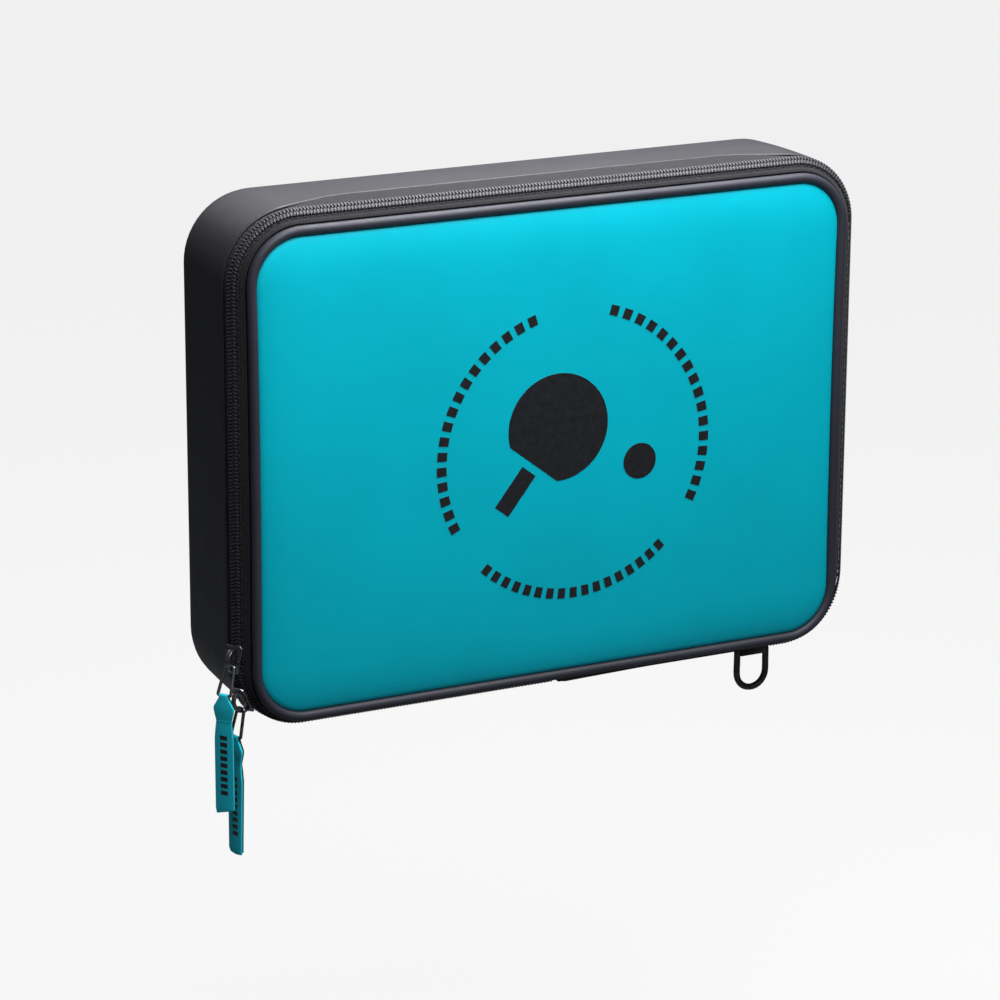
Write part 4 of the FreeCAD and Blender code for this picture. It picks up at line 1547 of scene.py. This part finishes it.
# ---- Rear half ----
@dataclass
class RearCase:
    """The deep moulded half: cover, foam, lining, binding, hanging ring, and strap for a handle."""

    flare: float = 6.4
    lip: float = 12.0
    fillet: float = 15.0
    lining_inset: float = 4.5
    lining_wall: float = 0.7
    belly: float = 0.35          # the walls bow out this much halfway back
    draft: float = 1.05          # the walls come in this much towards the back
    top_lip: float = 11.0        # on top the lip lies this much further back

    def tray(self, front: float, inset: float, lip: Sequence[tuple[float, float]],
             draft: float = 0.0) -> BMesh:
        """The tray's surface at an inset from its outside, from its lip to the back wall.

        Args:
            front: Depth at which the wall starts.
            inset: How far inside the cover the surface lies.
            lip: Points of (depth, flare) before the wall.
            draft: How far the wall comes in towards the back.

        Returns:
            The open surface, its back wall filled.
        """
        back = CASE.depth - inset
        outer = self.flare - inset
        radius = self.fillet - inset
        profile = list(lip)
        wall = 10
        for index in range(wall + 1):
            share = index / wall
            depth = front + share * (back - radius - front)
            profile.append((depth, outer + self.belly * math.sin(math.pi * share) - draft * share))
        for index in range(1, 9):
            turn = index / 8 * math.pi / 2
            profile.append((back - radius + radius * math.sin(turn),
                            outer - draft - radius + radius * math.cos(turn)))
        profile.append((back, outer - radius - 8.0))
        bm = CASE.sweep(profile, closed=False, runs=12, turns=14)
        wall_y = CASE.y(back)
        rim = [e for e in bm.edges if e.is_boundary and all(abs(v.co.y - wall_y) < MERGE for v in e.verts)]
        bmesh.ops.edgeloop_fill(bm, edges=shrink_rim(bm, rim, (0.8, 0.7)))
        return bm

    def cover(self) -> None:
        """Coated fabric over the moulding, rolled in at the lip."""
        edge = self.flare
        lip = [(13.0, edge - 1.25), (12.3, edge - 1.15), (12.0, edge - 0.7), (12.1, edge - 0.25),
               (12.5, edge - 0.02)]
        bm = self.tray(13.2, 0.0, lip, self.draft)
        push_back(bm, self.top_lip, self.lip - 0.5, CASE.depth - self.fillet)
        make_piece(bm, "shell_cover", BLACK_SHELL, "rear_case", ["rear_shell_skin"], sharp=60)

    def lining(self) -> None:
        """Brushed lining, moulded with the foam."""
        bm = self.tray(13.6, self.lining_inset + self.lining_wall, [(12.3, 1.35)])
        bmesh.ops.recalc_face_normals(bm, faces=bm.faces)
        bmesh.ops.reverse_faces(bm, faces=bm.faces)
        piece = make_piece(bm, "shell_lining_cloth", LINING, "rear_case", ["rear_lining"], recalc=False)
        solidify(piece, self.lining_wall)

    def binding(self) -> None:
        """Grosgrain rolled over the raw edge of foam and lining inside the lip."""
        profile = [(10.6, 4.1), (10.3, 3.4), (10.4, 2.2), (10.9, 1.3), (12.4, 1.05), (14.0, 1.0),
                   (14.0, 4.15)]
        bm = CASE.sweep(profile)
        make_piece(bm, "shell_edge_binding", BINDING, "rear_case", ["rear_seam_binding"], Unwrap.OUTLINE)

    def lip_stitches(self) -> None:
        """Stitches that hold the zip tape to the shell's lip."""
        places = []
        depth = 10.6
        pitch = 3.4
        for point, along, out in CASE.walk(pitch, depth):
            places.append(axes(along, Vector((0, 1, 0)), out, point + out * 0.08))
        bm = place_copies(stitch(pitch * 0.7, 0.42), places)
        make_piece(bm, "shell_lip_stitches", THREAD, "rear_case", sharp=180)

    def ring_tab(self) -> None:
        """Webbing folded round the ring's bar and sewn under the shell."""
        low, high = mm_box("d_ring_tab")
        bar_low, bar_high = mm_box("d_ring")
        wire_radius = (bar_high.y - bar_low.y) / 2
        bar = Vector((0, (low.y + high.y) / 2, bar_high.z - wire_radius))
        reach = (high.y - low.y) / 2 - 0.55
        bm = bmesh.new()
        start = [bm.verts.new((x, bar.y - reach, high.z + 0.8)) for x in (low.x, high.x)]
        edges = [bm.edges.new(start)]
        runs = [Vector((0, 0, (bar.z - high.z - 0.8) / 2))] * 2
        for step in runs:
            edges = grow(bm, edges, step)
        around = {v for e in edges for v in e.verts}
        turned = bmesh.ops.spin(bm, geom=list(around) + edges, cent=bar, axis=(1, 0, 0), angle=math.pi,
                                steps=10, use_duplicate=False)["geom_last"]
        edges = [g for g in turned if isinstance(g, BMEdge)]
        for step in runs:
            edges = grow(bm, edges, -step)
        bmesh.ops.recalc_face_normals(bm, faces=bm.faces)
        piece = make_piece(bm, "ring_tab_webbing", WEBBING, "rear_case", ["d_ring_tab"], Unwrap.BOX)
        solidify(piece, 1.1, 0.0)

    def ring(self) -> None:
        """Dark plated wire bent to a ring with a straight bar."""
        low, high = mm_box("d_ring")
        radius = (high.y - low.y) / 2
        y = (low.y + high.y) / 2
        left, right = low.x + radius, high.x - radius
        top = high.z - radius
        middle = (left + right) / 2
        half = (right - left) / 2
        centre = low.z + radius + half
        points = [Vector((x, y, top)) for x in (left, right)]
        points.insert(0, Vector((left, y, top - 0.9)))
        points.insert(2, Vector((middle, y, top)))
        points += [Vector((right, y, top - 0.9)), Vector((right, y, (top + centre) / 2))]
        for step in range(9):
            turn = math.pi * step / 8
            reach = half * 1.02
            points.append(Vector((middle + reach * math.cos(turn), y, centre - reach * math.sin(turn))))
        points.append(Vector((left, y, (top + centre) / 2)))
        wire("hanging_ring", points, radius, RING_METAL, "ring", ["d_ring"])

    def strap(self) -> None:
        """Elastic loop for a racket's handle, with its feet sewn down."""
        low, high = mm_box("handle_strap")
        patch = mm_box("strap_patches")
        floor = patch[0].y
        rise = floor - low.y
        span = 26.0
        reach = high.z
        count = 28
        bm = bmesh.new()
        path = [(reach, floor - 0.75), (span + 2.5, floor - 0.75)]
        for index in range(count + 1):
            turn = math.pi * index / count
            square = 0.42
            side = math.copysign(abs(math.cos(turn)) ** square, math.cos(turn))
            path.append((span * side, floor - 0.75 - (rise - 1.5) * abs(math.sin(turn)) ** square))
        path += [(-span - 2.5, floor - 0.75), (-reach, floor - 0.75)]
        edges = [bm.edges.new([bm.verts.new((x, path[0][1], path[0][0])) for x in (low.x, high.x)])]
        for (z0, y0), (z1, y1) in zip(path, path[1:]):
            edges = grow(bm, edges, (0, y1 - y0, z1 - z0))
        piece = make_piece(bm, "handle_elastic", ELASTIC, "rear_case", ["handle_strap"], Unwrap.BOX)
        solidify(piece, 1.4, 0.0)
        rows = bmesh.new()
        facing = Vector((0, -1, 0))
        top = floor - 1.55
        for side in (-1, 1):
            near, far = side * (span + 2.6), side * (reach - 1.6)
            corners = [Vector((x, top, z)) for x, z in
                       ((low.x + 2, near), (high.x - 2, near), (high.x - 2, far), (low.x + 2, far))]
            for index in range(4):
                merge_into(rows, seam(corners[index], corners[(index + 1) % 4], facing, 2.8, 0.5))
            merge_into(rows, seam(corners[0], corners[2], facing, 2.8, 0.5))
            merge_into(rows, seam(corners[1], corners[3], facing, 2.8, 0.5))
        make_piece(rows, "handle_box_stitches", THREAD, "rear_case", sharp=180)
        dress_node("strap_patches", BLACK_BEAD)

    def build(self) -> None:
        """Builds and dresses the rear half's pieces."""
        self.cover()
        self.lining()
        self.binding()
        self.lip_stitches()
        self.ring_tab()
        self.ring()
        self.strap()
        dress_node("rear_shell_foam", FOAM)


@dataclass
class Divider:
    """The flap between the two rackets: board in thin foam and brushed cloth, bound at its edge."""

    corner: float = 18.0
    edge: float = 3.0

    def __post_init__(self) -> None:
        """Reads the flap's place from its binding."""
        self.low, self.high = mm_box("divider_binding")

    def ring(self, profile: Sequence[tuple[float, float]], closed: bool) -> BMesh:
        """Sweeps a profile of (y, inset) round the flap's outline.

        Args:
            profile: Points of (y, inset).
            closed: Whether the last point joins the first.

        Returns:
            The swept mesh.
        """
        half = (self.high.x - self.low.x) / 2
        tall = (self.high.z - self.low.z) / 2
        shape = CaseShape(half_width=half, half_height=tall, depth=0.0, corner=self.corner)
        bm = shape.sweep([(y, -inset) for y, inset in profile], closed=closed, tucked=False, runs=10, turns=8)
        bmesh.ops.translate(bm, verts=bm.verts, vec=(0, 0, (self.low.z + self.high.z) / 2))
        return bm

    def pad(self) -> None:
        """The two padded faces, soft towards their bound edge."""
        front, back = self.low.y, self.high.y
        middle = (front + back) / 2
        half = (back - front) / 2
        steps = (2.0, 3.2, 4.6, 6.5, 9.0, 12.0, 16.0)
        swell = [half * (0.62 + 0.4 * (1 - math.exp(-(s - 2.0) / 3.5))) for s in steps]
        front_side = [(middle - lift, step) for lift, step in zip(swell, steps)]
        back_side = [(middle + lift, step) for lift, step in zip(swell, steps)]
        bm = self.ring(list(reversed(front_side)) + back_side, closed=False)
        centre = (self.low.z + self.high.z) / 2
        for side_y in (front_side[-1][0], back_side[-1][0]):
            rim = [e for e in bm.edges
                   if e.is_boundary and all(abs(v.co.y - side_y) < MERGE for v in e.verts)]
            bmesh.ops.edgeloop_fill(bm, edges=shrink_rim(bm, rim, (0.8, 0.7), centre))
        piece = make_piece(bm, "divider_padded_faces", LINING, "divider",
                           ["divider_foam_front", "divider_foam_rear"])

    def binding(self) -> None:
        """Grosgrain folded over the flap's edge."""
        front, back = self.low.y, self.high.y
        profile = [(front + 0.5, self.edge + 1.6), (front, self.edge + 1.2), (front, 1.0),
                   (front + 0.6, 0.25), ((front + back) / 2, 0.0), (back - 0.6, 0.25), (back, 1.0),
                   (back, self.edge + 1.2), (back - 0.5, self.edge + 1.6)]
        bm = self.ring(profile, closed=True)
        make_piece(bm, "divider_edge_binding", BINDING, "divider", ["divider_binding"], Unwrap.BOX)

    def web(self) -> None:
        """Cloth hinge between the flap's lower edge and the shell's floor."""
        low, high = mm_box("divider_hinge_tape")
        y = (low.y + high.y) / 2
        top = self.low.z + 2.0
        bm = slab((low.x, y - 0.45, low.z), (high.x, y + 0.45, top))
        cut_along(bm, 0, 15)
        cut_along(bm, 2, 11)
        piece = make_piece(bm, "divider_cloth_hinge", BINDING, None, ["divider_hinge_tape"], Unwrap.BOX)
        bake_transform(piece)

    def build(self) -> None:
        """Builds and dresses the flap."""
        self.pad()
        self.binding()
        self.web()
        dress_node("divider_board", BOARD)


# ---- Studio ----
@dataclass
class Studio:
    """Pale floor, soft lights and the camera."""

    camera_at: tuple[float, float, float] = (-0.74837, -1.51018, 0.47107)
    yaw: float = 26.560
    pitch: float = 16.982
    roll: float = 0.282
    lens: float = 141.40
    floor_gap: float = 0.145     # clear of the lid when it hangs open

    def camera(self) -> None:
        """The camera at its viewing angle."""
        data = bpy.data.cameras.new("camera")
        data.lens = self.lens
        data.sensor_width = 36.0
        data.clip_end = 50.0
        yaw, pitch, roll = (math.radians(a) for a in (self.yaw, self.pitch, self.roll))
        ahead = Vector((math.sin(yaw) * math.cos(pitch), math.cos(yaw) * math.cos(pitch), -math.sin(pitch)))
        right = Vector((math.cos(yaw), -math.sin(yaw), 0))
        up = right.cross(ahead)
        turned_right = right * math.cos(roll) + up * math.sin(roll)
        turned_up = up * math.cos(roll) - right * math.sin(roll)
        holder = bpy.data.objects.new("camera", data)
        holder.matrix_world = axes(turned_right, turned_up, -ahead, Vector(self.camera_at))
        bpy.context.scene.collection.objects.link(holder)
        bpy.context.scene.camera = holder

    def show(self, tree: bpy.types.NodeTree, output: str, hidden: bpy.types.Node,
             seen: bpy.types.Node) -> None:
        """Puts out one shader to the camera and another to everything else.

        Args:
            tree: The node tree.
            output: The output node's type.
            hidden: The shader that the light meets.
            seen: The shader that the camera sees.
        """
        path = add_node(tree, "ShaderNodeLightPath")
        mix = add_node(tree, "ShaderNodeMixShader",
                       {0: path.outputs["Is Camera Ray"], 1: hidden.outputs[0], 2: seen.outputs[0]})
        add_node(tree, output, {"Surface": mix.outputs[0]})

    def floor(self) -> None:
        """A wide pale floor that lies below the opened lid and takes a faint shadow."""
        bm = bmesh.new()
        bmesh.ops.create_grid(bm, x_segments=1, y_segments=1, size=12.0)
        bmesh.ops.translate(bm, verts=bm.verts, vec=(0, 0, CAD_BOX[0].z - self.floor_gap))
        mesh = bpy.data.meshes.new("floor")
        bm.to_mesh(mesh)
        bm.free()
        floor = bpy.data.objects.new("floor", mesh)
        bpy.context.scene.collection.objects.link(floor)
        paper = bpy.data.materials.new("pale_paper")
        paper.use_nodes = True
        tree = paper.node_tree
        tree.nodes.clear()
        glow = add_node(tree, "ShaderNodeEmission", {"Color": linear("#F6F6F6")})
        matte = add_node(tree, "ShaderNodeBsdfDiffuse", {"Color": linear("#F5F5F5")})
        dim = add_node(tree, "ShaderNodeBsdfDiffuse", {"Color": linear("#6A6C6E")})
        lit = add_node(tree, "ShaderNodeMixShader", {0: 0.06, 1: glow.outputs[0], 2: matte.outputs[0]})
        self.show(tree, "ShaderNodeOutputMaterial", dim, lit)
        mesh.materials.append(paper)

    def lamp(self, name: str, at: Sequence[float], aim: Sequence[float], size: tuple[float, float],
             watts: float) -> None:
        """A soft rectangular lamp.

        Args:
            name: The lamp's name.
            at: Where it stands, in metres.
            aim: What it points at.
            size: Its width and height.
            watts: Its power.
        """
        data = bpy.data.lights.new(name, "AREA")
        data.shape = "RECTANGLE"
        data.size, data.size_y = size
        data.energy = watts
        holder = bpy.data.objects.new(name, data)
        holder.location = at
        holder.rotation_euler = (Vector(aim) - Vector(at)).to_track_quat("-Z", "Y").to_euler()
        bpy.context.scene.collection.objects.link(holder)

    def lights(self) -> None:
        """Large overhead softbox, weak front fill, and pale surroundings."""
        self.lamp("front_top_box", (0.04, -0.30, 0.46), (0.0, -0.06, 0.02), (0.7, 0.3), 6.1)
        self.lamp("overhead_box", (0.13, 0.02, 0.58), (0.06, -0.03, 0.0), (0.4, 0.4), 7.5)
        self.lamp("front_fill", (0.5, -1.6, 0.5), (0.0, 0.0, 0.0), (0.9, 0.9), 1.2)
        self.lamp("back_strip", (0.1, 0.9, 0.7), (0.0, 0.0, 0.08), (1.2, 0.4), 2.5)
        world = bpy.data.worlds.new("studio")
        bpy.context.scene.world = world
        world.use_nodes = True
        tree = world.node_tree
        tree.nodes.clear()
        seen = add_node(tree, "ShaderNodeBackground", {"Color": linear("#F6F6F6"), "Strength": 1.0})
        ambient = add_node(tree, "ShaderNodeBackground", {"Color": linear("#E8EEF2"), "Strength": 0.14})
        self.show(tree, "ShaderNodeOutputWorld", ambient, seen)

    def build(self) -> None:
        """Sets up the studio."""
        scene = bpy.context.scene
        scene.view_settings.view_transform = "Standard"
        self.camera()
        self.floor()
        self.lights()


def main() -> None:
    """Builds the studio, then the case's sub-assemblies."""
    logging.basicConfig(level=logging.INFO, format="%(message)s")
    Studio().build()
    for part in (
        RearCase(),
        Lid(),
        NetPouch(),
        Zip(),
        Divider(),
        PullSet(1, 0.0, -77.0, 24.0),
        PullSet(2, 31.0, -(CASE.half_height - CASE.tuck(CASE.zip_depth)) + CASE.corner, 14.0, slanted=False),
    ):
        part.build()


if __name__ == "__main__":
    main()
